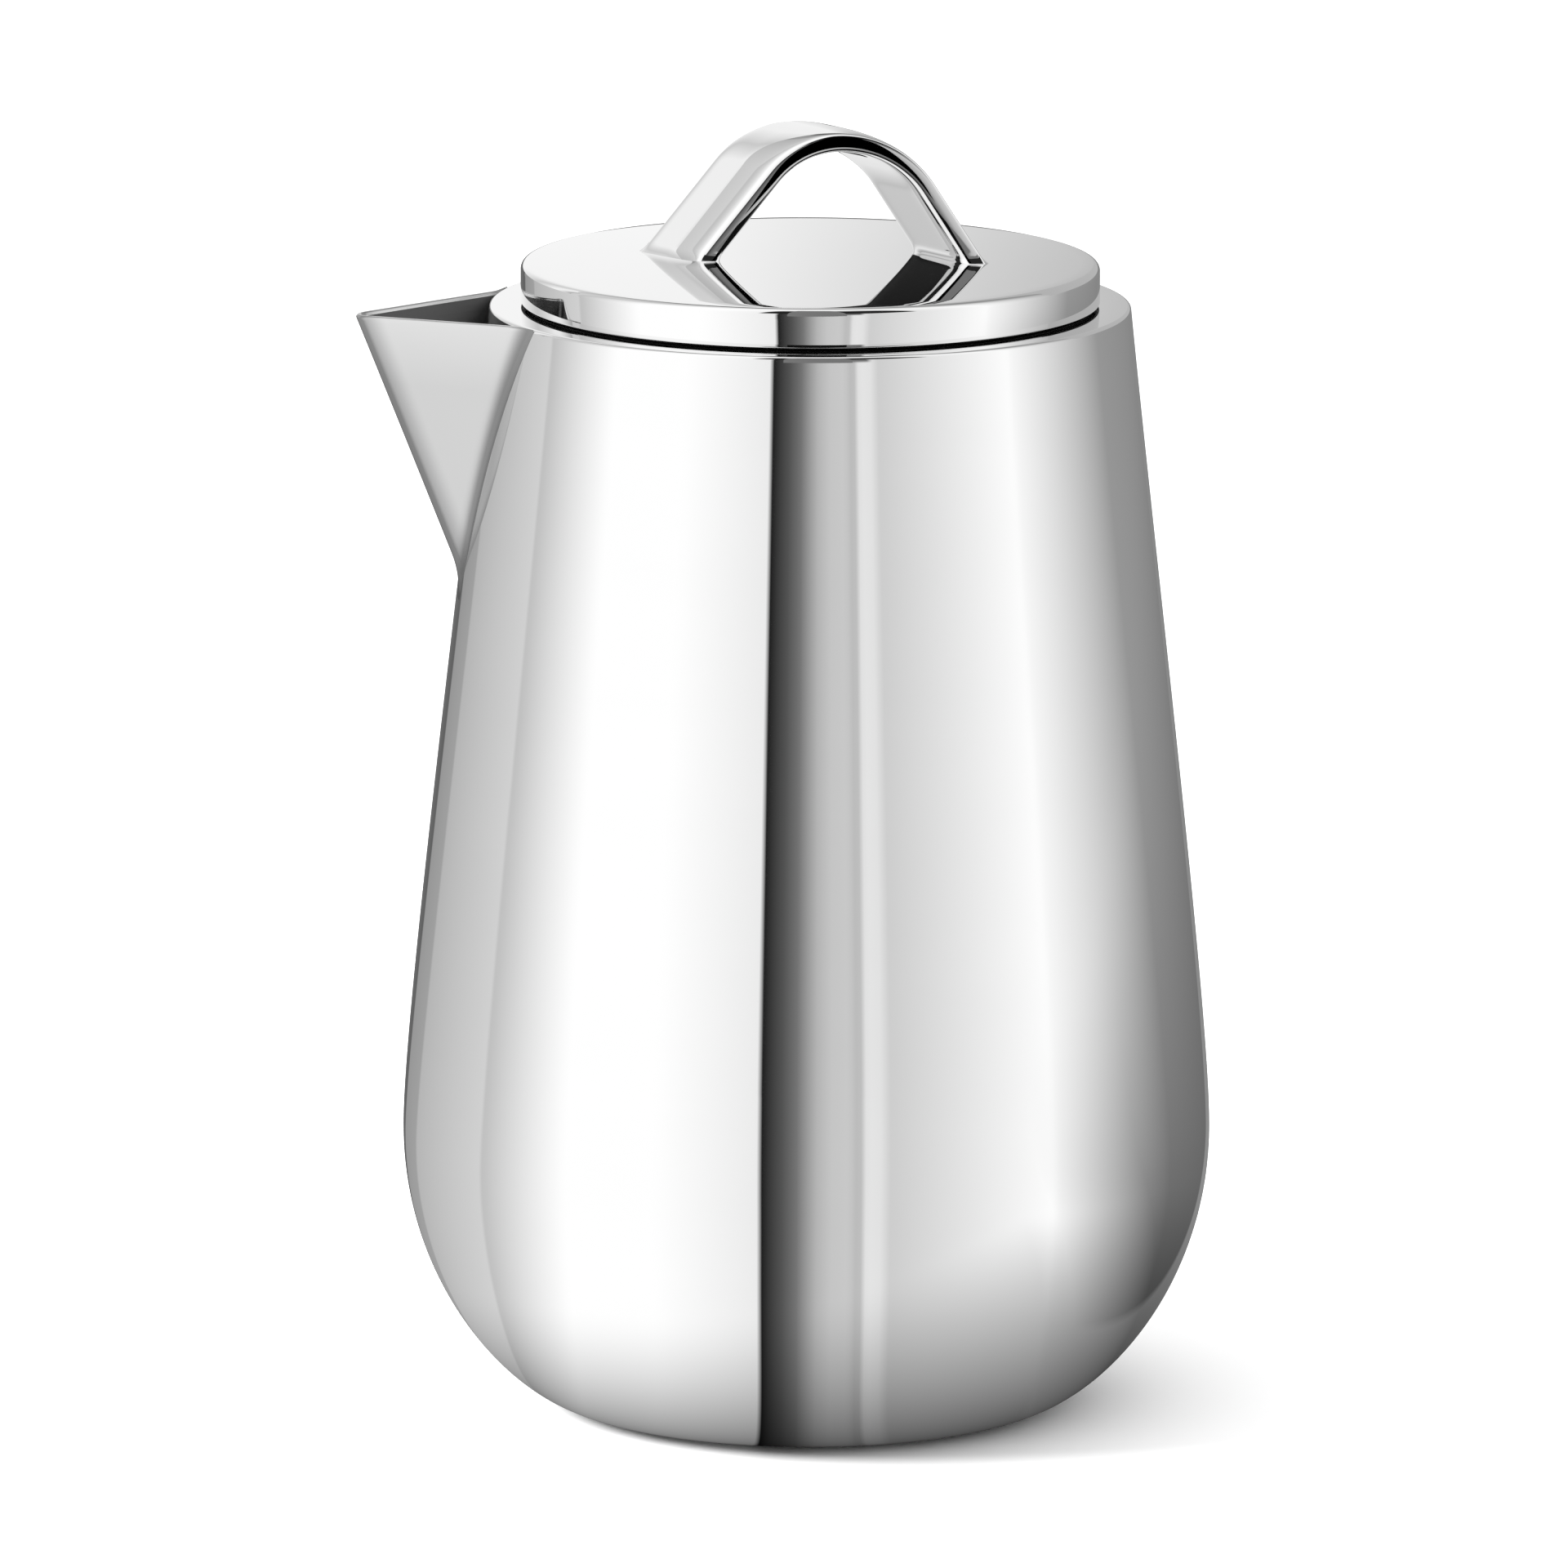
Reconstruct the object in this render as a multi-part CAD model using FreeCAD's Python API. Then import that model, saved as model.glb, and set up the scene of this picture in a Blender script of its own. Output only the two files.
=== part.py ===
# Insulated coffee pot: a round steel pot with two walls, a pointed spout and a lift-off lid with a loop.
# Millimetres, +Z up. The origin is the middle of the foot, on the table. The spout points along -X.
import FreeCAD, Part
import math
import os

from FreeCAD import Vector

# Outer form of the pot
rim_height = 172.3
rim_radius = 49.3
belly_radius = 62.5
belly_height = 43.5
heel_radius = 36.5
heel_pull = 8.0
belly_pull_below = 26.0
belly_pull_above = 18.0
rim_pull = 34.0
rim_lean_deg = 5.8

# Walls of the pot and the vacuum between them
shell_wall = 0.8
liner_wall = 0.7
wall_gap = 6.0
base_gap = 8.0
liner_seam = 24.0
neck_depth = 10.0
shoulder_deg = 45.0

# Rim ring
ring_width = 7.8
ring_thickness = 1.2
ring_edge_round = 0.6

# Spout, and the duct that leads to it through both walls
spout_overhang = 20.9
spout_half_deg = 34.5
spout_rake_deg = 21.4
spout_nose = 3.0
spout_sheet = 1.0
duct_margin = 2.5
duct_wall = 0.8
duct_nose = 2.0
duct_depth = 13.0

# Foil wrapped round the liner
foil_thickness = 0.2
foil_clearance = 0.4
foil_neck_space = 6.0

# Base
foot_height = 0.8
foot_inset = 3.5
foot_edge_round = 0.25
base_opening_radius = 24.0
base_wall = 0.8
base_recess = 3.0
cover_thickness = 0.8
seal_hole_radius = 1.5
seal_head_radius = 3.5
seal_head_height = 1.0
getter_radius = 4.0
getter_height = 1.2
getter_offset = 12.0

# Lid cap, pan and insulation
lid_overlap = 3.7
lid_height = 6.5
lid_dome = 1.2
lid_wall = 0.8
lid_edge_round = 1.1
lid_lower_round = 0.35
lid_gap = 1.1
pan_wall = 0.8
pan_depth = 8.0
pan_bead = 0.5
pan_bead_height = 1.2
insulation_clearance = 0.3
insulation_above_rim = 2.5

# Lid gasket
gasket_wall = 1.0
gasket_slack = 0.06
gasket_inset = 0.6
gasket_rib = 0.35
gasket_rib_height = 1.4
gasket_rib_count = 2

# Loop on the lid
loop_radius = 15.6
loop_rise = 21.3
loop_bar = 3.0
loop_depth = 11.1
loop_skew = 7.9
loop_shift = 0.7
loop_steep_deg = 54.5
loop_shallow_deg = 52.0
loop_turn_deg = -6.5
loop_edge_round = 1.0

# Studs, washers and nuts that hold the loop
stud_radius = 1.25
stud_slack = 0.1
stud_tail = 0.5
washer_radius = 3.0
washer_thickness = 0.5
nut_width = 5.0
nut_height = 2.0

# Heights and radii that follow from the sizes above
BIG = 4 * (belly_radius + rim_height)
liner_inset = shell_wall + wall_gap
liner_floor = foot_height + base_gap
lid_edge_height = rim_height + lid_height
lid_lower_height = rim_height + lid_gap
spout_reach = rim_radius + spout_overhang
neck_radius = rim_radius - ring_width - liner_wall
foot_radius = heel_radius - foot_inset
lid_radius = neck_radius + lid_overlap
lid_bore = lid_radius - lid_wall
pan_radius = neck_radius - gasket_wall


def revolve(outline):
    """Turn a closed outline of (radius, height) edges a full circle about the pot's axis."""
    return Part.Face(Part.Wire(outline)).revolve(Vector(0, 0, 0), Vector(0, 0, 1), 360)


def point(radius, height):
    """A point of an outline."""
    return Vector(radius, 0, height)


def line(start, end):
    """A straight edge of an outline."""
    return Part.makeLine(point(*start), point(*end))


def curve(*poles):
    """A Bezier edge of an outline."""
    bezier = Part.BezierCurve()
    bezier.setPoles([point(*pole) for pole in poles])
    return bezier.toShape()


def polygon(*corners):
    """Straight edges through the corners and back to the first."""
    return [line(a, b) for a, b in zip(corners, corners[1:] + corners[:1])]


def disc(radius, bottom, top, x=0.0, y=0.0):
    """An upright cylinder between two heights."""
    return Part.makeCylinder(radius, top - bottom, Vector(x, y, bottom))


def tube(outer, inner, bottom, top, x=0.0, y=0.0):
    """An upright tube between two heights."""
    return disc(outer, bottom, top, x, y).cut(disc(inner, bottom, top, x, y))


def slab(bottom, top):
    """Everything between two heights."""
    return disc(BIG, bottom, top)


def one_solid(shape):
    """The single solid that a cut or a common part leaves."""
    solids = shape.removeSplitter().Solids
    if len(solids) != 1:
        raise ValueError("expected one solid, found %d" % len(solids))
    return solids[0]


def ring_edges(shape, radius, height):
    """The round edges of a shape at a radius and a height."""
    found = []
    for edge in shape.Edges:
        at = edge.Vertexes[0].Point
        level = edge.BoundBox.ZLength < 1e-6
        if level and abs(at.z - height) < 1e-6 and abs(math.hypot(at.x, at.y) - radius) < 1e-6:
            found.append(edge)
    return found


# The pot

def pot_solid(inset, floor):
    """The pot's outer form as a full solid, moved in by inset, standing on the height floor."""
    belly = belly_radius - inset
    rim = rim_radius - inset
    heel = (heel_radius, floor)
    belly_point = (belly, belly_height)
    lean = math.tan(math.radians(rim_lean_deg)) * rim_pull
    heel_edge = curve(
        heel,
        (heel_radius + heel_pull, floor),
        (belly, belly_height - belly_pull_below),
        belly_point,
    )
    wall_edge = curve(
        belly_point,
        (belly, belly_height + belly_pull_above),
        (rim + lean, rim_height - rim_pull),
        (rim, rim_height),
    )
    return revolve([
        line((0, floor), heel),
        heel_edge,
        wall_edge,
        line((rim, rim_height), (0, rim_height)),
        line((0, rim_height), (0, floor)),
    ])


def neck_envelope(radius, depth):
    """The straight neck of the liner, opening out below into a shoulder."""
    flare = (BIG - radius) * math.tan(math.radians(shoulder_deg))
    shoulder = rim_height - depth
    return revolve(polygon(
        (0, rim_height),
        (radius, rim_height),
        (radius, shoulder),
        (BIG, shoulder - flare),
        (0, shoulder - flare),
    ))


def spout_prism(offset, nose):
    """The spout's V as a full solid, moved in by offset from its outside, with a round nose."""
    half = math.radians(spout_half_deg)
    rake = math.tan(math.radians(spout_rake_deg))
    apex = spout_reach + spout_nose * (1 / math.sin(half) - 1)
    centre = -(apex - (offset + nose) / math.sin(half))
    side = Vector(-nose * math.sin(half), nose * math.cos(half), 0)
    arm = Vector(1, math.tan(half), 0) * (spout_reach - neck_radius / 2)
    top = Vector(centre, 0, rim_height)
    left = top + side
    right = top + Vector(side.x, -side.y, 0)
    left_end = left + arm
    right_end = right + Vector(arm.x, -arm.y, 0)
    outline = Part.Wire([
        Part.makeLine(left_end, left),
        Part.Arc(left, top - Vector(nose, 0, 0), right).toShape(),
        Part.makeLine(right, right_end),
        Part.makeLine(right_end, left_end),
    ])
    sweep = spout_reach - neck_radius
    return Part.Face(outline).extrude(Vector(sweep, 0, -sweep / rake))


def duct_solid(inset, nose):
    """The way through the walls behind the spout, as a full solid under a flat roof."""
    roof = rim_height - duct_depth - inset
    way = spout_prism(spout_sheet + duct_margin + inset, nose)
    return way.common(slab(0, roof))


POT = pot_solid(0, foot_height)
SHELL_INSIDE = pot_solid(shell_wall, foot_height + shell_wall)
NECK_OUTER = neck_radius + liner_wall
NECK_RISE = liner_wall * math.tan(math.radians(shoulder_deg / 2))
LINER_OUTSIDE = pot_solid(liner_inset, liner_floor).common(
    neck_envelope(NECK_OUTER, neck_depth - NECK_RISE))
LINER_INSIDE = pot_solid(liner_inset + liner_wall, liner_floor + liner_wall).common(
    neck_envelope(neck_radius, neck_depth))
DUCT = duct_solid(0, duct_nose)
RING_BOTTOM = rim_height - ring_thickness


def outer_shell():
    """Polished outer wall, open at the top for the ring and below for the base plate."""
    wall = POT.cut(SHELL_INSIDE).common(slab(foot_height, RING_BOTTOM))
    opening = disc(base_opening_radius, 0, foot_height + 2 * shell_wall)
    return one_solid(wall.cut(opening).cut(DUCT))


def rim_ring():
    """Flat ring that joins the outer wall to the neck of the liner."""
    ring = POT.common(slab(RING_BOTTOM, rim_height)).cut(disc(NECK_OUTER, 0, BIG))
    return one_solid(ring.makeFillet(ring_edge_round, ring_edges(ring, rim_radius, rim_height)))


def liner():
    """Inner vessel, whole, with its neck up to the rim."""
    return LINER_OUTSIDE.cut(LINER_INSIDE).cut(DUCT)


def liner_body():
    """Upper part of the inner vessel."""
    return one_solid(liner().common(slab(liner_seam, rim_height)))


def liner_base():
    """Drawn floor of the inner vessel."""
    return one_solid(liner().common(slab(foot_height, liner_seam)))


def spout():
    """Folded sheet with a V section, set on the outer wall and level with the rim."""
    sheet = spout_prism(0, spout_nose).cut(spout_prism(spout_sheet, spout_nose - spout_sheet))
    return one_solid(sheet.cut(POT))


def pour_duct():
    """Short duct that joins the openings in both walls and keeps the vacuum closed."""
    wall = DUCT.cut(duct_solid(duct_wall, duct_nose))
    return one_solid(wall.common(POT).cut(LINER_INSIDE))


def heat_foil():
    """Thin bright foil round the liner, notched for the duct."""
    inner = liner_inset - foil_clearance
    band = pot_solid(inner - foil_thickness, liner_floor).cut(pot_solid(inner, liner_floor))
    top = rim_height - neck_depth - foil_neck_space
    notch = spout_prism(spout_sheet + duct_margin - foil_clearance, duct_nose)
    return one_solid(band.common(slab(belly_height, top)).cut(notch))


def base_plate():
    """Inverted cup that closes the outer wall, with a hole for drawing the vacuum."""
    top = foot_height + base_recess + base_wall
    cup = disc(base_opening_radius, foot_height, top)
    hollow = disc(base_opening_radius - base_wall, foot_height, foot_height + base_recess)
    return one_solid(cup.cut(hollow).cut(disc(seal_hole_radius, 0, BIG)))


def vacuum_seal():
    """Plug that closes the hole in the base plate."""
    plate = foot_height + base_recess
    head = disc(seal_head_radius, plate - seal_head_height, plate)
    return one_solid(head.fuse(disc(seal_hole_radius, plate - seal_head_height, plate + base_wall)))


def getter():
    """Pellet on the base plate that keeps the vacuum clean."""
    bottom = foot_height + base_recess + base_wall
    return disc(getter_radius, bottom, bottom + getter_height, getter_offset)


def base_cover():
    """Plain disc that closes the base plate's hollow and hides the vacuum seal."""
    return disc(base_opening_radius - base_wall, foot_height, foot_height + cover_thickness)


def foot_pad():
    """Soft disc under the base that the pot stands on."""
    pad = disc(foot_radius, 0, foot_height)
    return one_solid(pad.makeFillet(foot_edge_round, ring_edges(pad, foot_radius, 0)))


# The lid

def dome_arc(radius, edge, rise):
    """Outline of a dome, from its edge to its top on the axis."""
    sphere = (radius ** 2 + rise ** 2) / (2 * rise)
    half = math.asin(radius / sphere) / 2
    middle = point(sphere * math.sin(half), edge + rise - sphere * (1 - math.cos(half)))
    return Part.Arc(point(radius, edge), middle, point(0, edge + rise)).toShape()


def lid_solid(inset):
    """The lid's outer form as a full solid, moved in by inset from its side and top."""
    radius = lid_radius - inset
    edge = lid_edge_height - inset
    top = edge + lid_dome
    return revolve([
        line((0, lid_lower_height), (radius, lid_lower_height)),
        line((radius, lid_lower_height), (radius, edge)),
        dome_arc(radius, edge, lid_dome),
        line((0, top), (0, lid_lower_height)),
    ])


def dome_height(x, y):
    """Height of the lid's top above a place on it."""
    sphere = (lid_radius ** 2 + lid_dome ** 2) / (2 * lid_dome)
    return lid_edge_height + lid_dome - sphere + math.sqrt(sphere ** 2 - x ** 2 - y ** 2)


LID = lid_solid(0)
LID_INSIDE = lid_solid(lid_wall)


def leg_foot(slope_deg, radius):
    """How far from the loop's middle a leg's face meets the lid's edge height."""
    slope = math.radians(slope_deg)
    arc_height = loop_rise - loop_radius + radius * math.cos(slope)
    return radius * math.sin(slope) + arc_height / math.tan(slope)


def loop_middle():
    """Place of the loop's arc along its span, with the two feet set off the lid's middle by the shift."""
    even = (leg_foot(loop_shallow_deg, loop_radius) - leg_foot(loop_steep_deg, loop_radius)) / 2
    return even + loop_shift


def turned(x, y):
    """A place on the lid, given along and across the loop's span."""
    turn = math.radians(loop_turn_deg)
    return (x * math.cos(turn) - y * math.sin(turn), x * math.sin(turn) + y * math.cos(turn))


def loop_side(radius, front):
    """Edges of one side of the arch, from the shallow leg over the crown to the steep leg."""
    middle = loop_middle() + loop_skew / 2
    centre = lid_edge_height + loop_rise - loop_radius
    shallow = math.radians(loop_shallow_deg)
    steep = math.radians(loop_steep_deg)
    sink = loop_bar + lid_height

    def at(x, z):
        return Vector(middle + x, front, centre + z)

    shallow_top = at(-radius * math.sin(shallow), radius * math.cos(shallow))
    steep_top = at(radius * math.sin(steep), radius * math.cos(steep))
    shallow_length = (shallow_top.z - lid_edge_height + sink) / math.sin(shallow)
    steep_length = (steep_top.z - lid_edge_height + sink) / math.sin(steep)
    shallow_end = shallow_top - Vector(math.cos(shallow), 0, math.sin(shallow)) * shallow_length
    steep_end = steep_top + Vector(math.cos(steep), 0, -math.sin(steep)) * steep_length
    edges = [
        Part.makeLine(shallow_end, shallow_top),
        Part.Arc(shallow_top, at(0, radius), steep_top).toShape(),
        Part.makeLine(steep_top, steep_end),
    ]
    return edges, shallow_end, steep_end


def lid_handle():
    """Loop of flat bar: an arch between two leaning legs, set askew and cut to sit on the dome."""
    front = -loop_depth / 2
    outer, outer_shallow, outer_steep = loop_side(loop_radius, front)
    inner, inner_shallow, inner_steep = loop_side(loop_radius - loop_bar, front)
    ends = [
        Part.makeLine(outer_steep, inner_steep),
        Part.makeLine(inner_shallow, outer_shallow),
    ]
    face = Part.Face(Part.Wire(Part.sortEdges(outer + inner + ends)[0]))
    bar = face.extrude(Vector(-loop_skew, loop_depth, 0))
    long_edges = []
    for edge in bar.Edges:
        start, end = (vertex.Point for vertex in edge.Vertexes)
        in_face = abs(start.y - end.y) < 1e-6
        at_foot = edge.BoundBox.ZLength < 1e-6
        if in_face and not at_foot:
            long_edges.append(edge)
    bar = bar.makeFillet(loop_edge_round, long_edges)
    bar.rotate(Vector(0, 0, 0), Vector(0, 0, 1), loop_turn_deg)
    return one_solid(bar.cut(disc(BIG, 0, lid_lower_height)).cut(LID))


def foot_places():
    """Middles of the loop's two feet on the lid."""
    places = []
    for side, slope in ((-1, loop_shallow_deg), (1, loop_steep_deg)):
        outer = leg_foot(slope, loop_radius)
        inner = leg_foot(slope, loop_radius - loop_bar)
        x = loop_middle() + side * (outer + inner) / 2
        rise = dome_height(x, 0) - lid_edge_height
        x -= side * rise / math.tan(math.radians(slope))
        places.append(turned(x, 0))
    return places


def seat_height(x, y):
    """Height of the washers' lower face, under the lowest part of the cap above them."""
    reach = math.hypot(x, y) + washer_radius
    return dome_height(reach, 0) - lid_wall - washer_thickness


def lid_cap():
    """Domed disc with a short side wall, drilled for the loop's studs."""
    cap = LID.cut(LID_INSIDE)
    cap = cap.makeFillet(lid_edge_round, ring_edges(cap, lid_radius, lid_edge_height))
    cap = cap.makeFillet(lid_lower_round, ring_edges(cap, lid_radius, lid_lower_height))
    for x, y in foot_places():
        cap = cap.cut(disc(stud_radius + stud_slack, 0, BIG, x, y))
    return one_solid(cap)


def handle_studs():
    """Studs welded under the loop's feet."""
    studs = []
    for x, y in foot_places():
        bottom = seat_height(x, y) - nut_height - stud_tail
        studs.append(one_solid(disc(stud_radius, bottom, BIG, x, y).common(LID)))
    return Part.makeCompound(studs)


def handle_washers():
    """Washers shaped to the underside of the cap."""
    washers = []
    for x, y in foot_places():
        bottom = seat_height(x, y)
        washer = tube(washer_radius, stud_radius + stud_slack, bottom, lid_edge_height + lid_dome, x, y)
        washers.append(one_solid(washer.common(LID_INSIDE)))
    return Part.makeCompound(washers)


def handle_nuts():
    """Hexagon nuts on the studs."""
    nuts = []
    corner = nut_width / 2 / math.cos(math.radians(30))
    for x, y in foot_places():
        bottom = seat_height(x, y) - nut_height
        corners = [
            Vector(x + corner * math.cos(turn), y + corner * math.sin(turn), bottom)
            for turn in (math.radians(60 * step) for step in range(7))
        ]
        hexagon = Part.Face(Part.makePolygon(corners)).extrude(Vector(0, 0, nut_height))
        nuts.append(one_solid(hexagon.cut(disc(stud_radius, 0, BIG, x, y))))
    return Part.makeCompound(nuts)


PAN_BOTTOM = rim_height - pan_depth
PAN_TOP = lid_lower_height + pan_wall


def lid_pan():
    """Pan that closes the lid from below and reaches into the neck, with a bead under the gasket."""
    inner = pan_radius - pan_wall
    bead = pan_radius + pan_bead
    bead_top = PAN_BOTTOM + pan_bead_height
    return one_solid(revolve(polygon(
        (0, PAN_BOTTOM),
        (bead, PAN_BOTTOM),
        (bead, bead_top),
        (pan_radius, bead_top),
        (pan_radius, lid_lower_height),
        (lid_bore, lid_lower_height),
        (lid_bore, PAN_TOP),
        (inner, PAN_TOP),
        (inner, PAN_BOTTOM + pan_wall),
        (0, PAN_BOTTOM + pan_wall),
    )))


def lid_insulation():
    """Foam disc inside the lid."""
    radius = pan_radius - pan_wall - insulation_clearance
    return disc(radius, PAN_BOTTOM + pan_wall, rim_height + insulation_above_rim)


def lid_seal():
    """Soft gasket: a flange between the lid and the rim, and a ribbed sleeve in the neck."""
    inner = pan_radius + gasket_slack
    outer = neck_radius - gasket_slack
    groove = outer - gasket_rib
    bottom = PAN_BOTTOM + pan_bead_height + gasket_slack
    flange_bottom = rim_height + gasket_slack
    flange_top = lid_lower_height - gasket_slack
    pitch = (rim_height - bottom) / gasket_rib_count
    corners = [(inner, flange_top), (inner, bottom)]
    for rib in range(gasket_rib_count):
        foot = bottom + rib * pitch
        corners += [
            (outer, foot),
            (outer, foot + gasket_rib_height),
            (groove, foot + gasket_rib_height + gasket_rib),
            (groove, foot + pitch),
        ]
    corners[-1] = (groove, flange_bottom)
    corners += [(lid_radius - gasket_inset, flange_bottom), (lid_radius - gasket_inset, flange_top)]
    return one_solid(revolve(polygon(*corners)))


NODES = (
    outer_shell,
    spout,
    rim_ring,
    liner_body,
    liner_base,
    pour_duct,
    heat_foil,
    getter,
    base_plate,
    vacuum_seal,
    base_cover,
    foot_pad,
    lid_seal,
    lid_cap,
    lid_handle,
    handle_studs,
    handle_washers,
    handle_nuts,
    lid_pan,
    lid_insulation,
)

os.makedirs("parts", exist_ok=True)
for make in NODES:
    make().exportStep("parts/%s.step" % make.__name__)
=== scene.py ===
"""Looks of a round insulated coffee pot of polished steel, with a pointed spout and a lift-off lid.

Metres, in the packed part's own frame: +Z up, the spout along -X, the origin in the middle of the
foot on the table. Turned pieces, the spout and the lid's loop come from Geometry Nodes trees that
follow the part's own sizes.
"""

import logging
import math
from dataclasses import dataclass, field
from enum import Enum
from typing import Any, Callable, Mapping, Optional, Sequence, Union

import bmesh
import bpy
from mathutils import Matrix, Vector


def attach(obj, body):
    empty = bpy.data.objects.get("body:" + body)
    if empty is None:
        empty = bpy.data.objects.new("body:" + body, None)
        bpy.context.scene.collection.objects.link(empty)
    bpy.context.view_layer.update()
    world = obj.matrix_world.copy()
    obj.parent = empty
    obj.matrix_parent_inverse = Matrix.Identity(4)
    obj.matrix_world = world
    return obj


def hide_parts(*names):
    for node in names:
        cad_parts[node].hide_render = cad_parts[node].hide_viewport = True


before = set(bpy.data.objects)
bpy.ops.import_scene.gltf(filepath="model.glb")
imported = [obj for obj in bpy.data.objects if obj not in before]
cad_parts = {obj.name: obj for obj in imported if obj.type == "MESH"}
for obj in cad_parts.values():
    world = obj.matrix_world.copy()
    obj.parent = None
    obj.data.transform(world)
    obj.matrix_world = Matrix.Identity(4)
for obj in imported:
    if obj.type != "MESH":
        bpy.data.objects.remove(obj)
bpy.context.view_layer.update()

MM = 0.001
SHARP_ANGLE = math.radians(32)
NO_LENGTH = 1e-9
HALVINGS = 60
EDGE_STEPS = 10

Colour = tuple[float, float, float]
Point = tuple[float, float]
Corner = tuple[float, float, float]
Value = Union["Wire", float, int, Sequence[float], bpy.types.Material]

log = logging.getLogger("coffee_pot")


class Body(str, Enum):
    """Bodies of the part that move by themselves."""

    POT = "pot"
    GASKET = "gasket"
    LID = "lid"


class Slot(str, Enum):
    """Material slots of the part's record that the pieces made here take their finish from."""

    POLISHED = "polished_steel"
    SATIN = "satin_steel"
    GREY = "soft_grey"
    BLACK = "soft_black"


def math_method(operation: str, meaning: str, reflected: bool = False) -> Callable[..., "Wire"]:
    """A method of a wire that adds one Math node.

    Args:
        operation: The node's operation.
        meaning: What the method gives, for its docstring.
        reflected: Whether the wire is the last operand and not the first.

    Returns:
        The method.
    """

    def method(wire: "Wire", *others: Value) -> "Wire":
        """Add the node."""
        values = (*others, wire) if reflected else (wire, *others)
        return wire.graph.node("ShaderNodeMath", {"operation": operation}, dict(enumerate(values)))[0]

    method.__doc__ = meaning
    return method


class Wire:
    """An output socket of a node, with arithmetic that adds Math nodes to its tree."""

    def __init__(self, graph: "Graph", socket: bpy.types.NodeSocket) -> None:
        """Hold a socket and the graph that it belongs to."""
        self.graph = graph
        self.socket = socket

    __add__ = math_method("ADD", "This plus other.")
    __radd__ = math_method("ADD", "Other plus this.", reflected=True)
    __sub__ = math_method("SUBTRACT", "This minus other.")
    __rsub__ = math_method("SUBTRACT", "Other minus this.", reflected=True)
    __mul__ = math_method("MULTIPLY", "This times other.")
    __rmul__ = math_method("MULTIPLY", "Other times this.", reflected=True)
    __truediv__ = math_method("DIVIDE", "This divided by other.")
    __rtruediv__ = math_method("DIVIDE", "Other divided by this.", reflected=True)
    __pow__ = math_method("POWER", "This to the power of other.")
    __lt__ = math_method("LESS_THAN", "One where this is less than other, and zero elsewhere.")
    __gt__ = math_method("GREATER_THAN", "One where this is more than other, and zero elsewhere.")
    __abs__ = math_method("ABSOLUTE", "This without its sign.")
    sin = math_method("SINE", "Sine of an angle in radians.")
    cos = math_method("COSINE", "Cosine of an angle in radians.")
    arcsin = math_method("ARCSINE", "Angle in radians whose sine this is.")
    arctan2 = math_method("ARCTAN2", "Angle in radians whose tangent is this divided by other.")
    sqrt = math_method("SQRT", "Square root.")
    at_least = math_method("MAXIMUM", "The larger of this and other.")
    at_most = math_method("MINIMUM", "The smaller of this and other.")

    def __neg__(self) -> "Wire":
        """This with its sign turned."""
        return self * -1.0

    def bounded(self) -> "Wire":
        """This, kept between zero and one."""
        return self.at_least(0.0).at_most(1.0)

    def eased(self) -> "Wire":
        """A share from zero to one, eased at both ends."""
        return self * self * (3 - 2 * self)

    def choose(self, inside: Value, outside: Value) -> "Wire":
        """One value where this mask is one, and another where it is zero."""
        return outside + self * (inside - outside)


class Outputs:
    """The output sockets of a node that has just been added."""

    def __init__(self, graph: "Graph", node: bpy.types.Node) -> None:
        """Hold a node and the graph that it belongs to."""
        self.graph = graph
        self.node = node

    def __getitem__(self, key: Union[int, str]) -> Wire:
        """The output with that place, identifier or name."""
        return Wire(self.graph, Graph.find(self.node.outputs, key))


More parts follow.
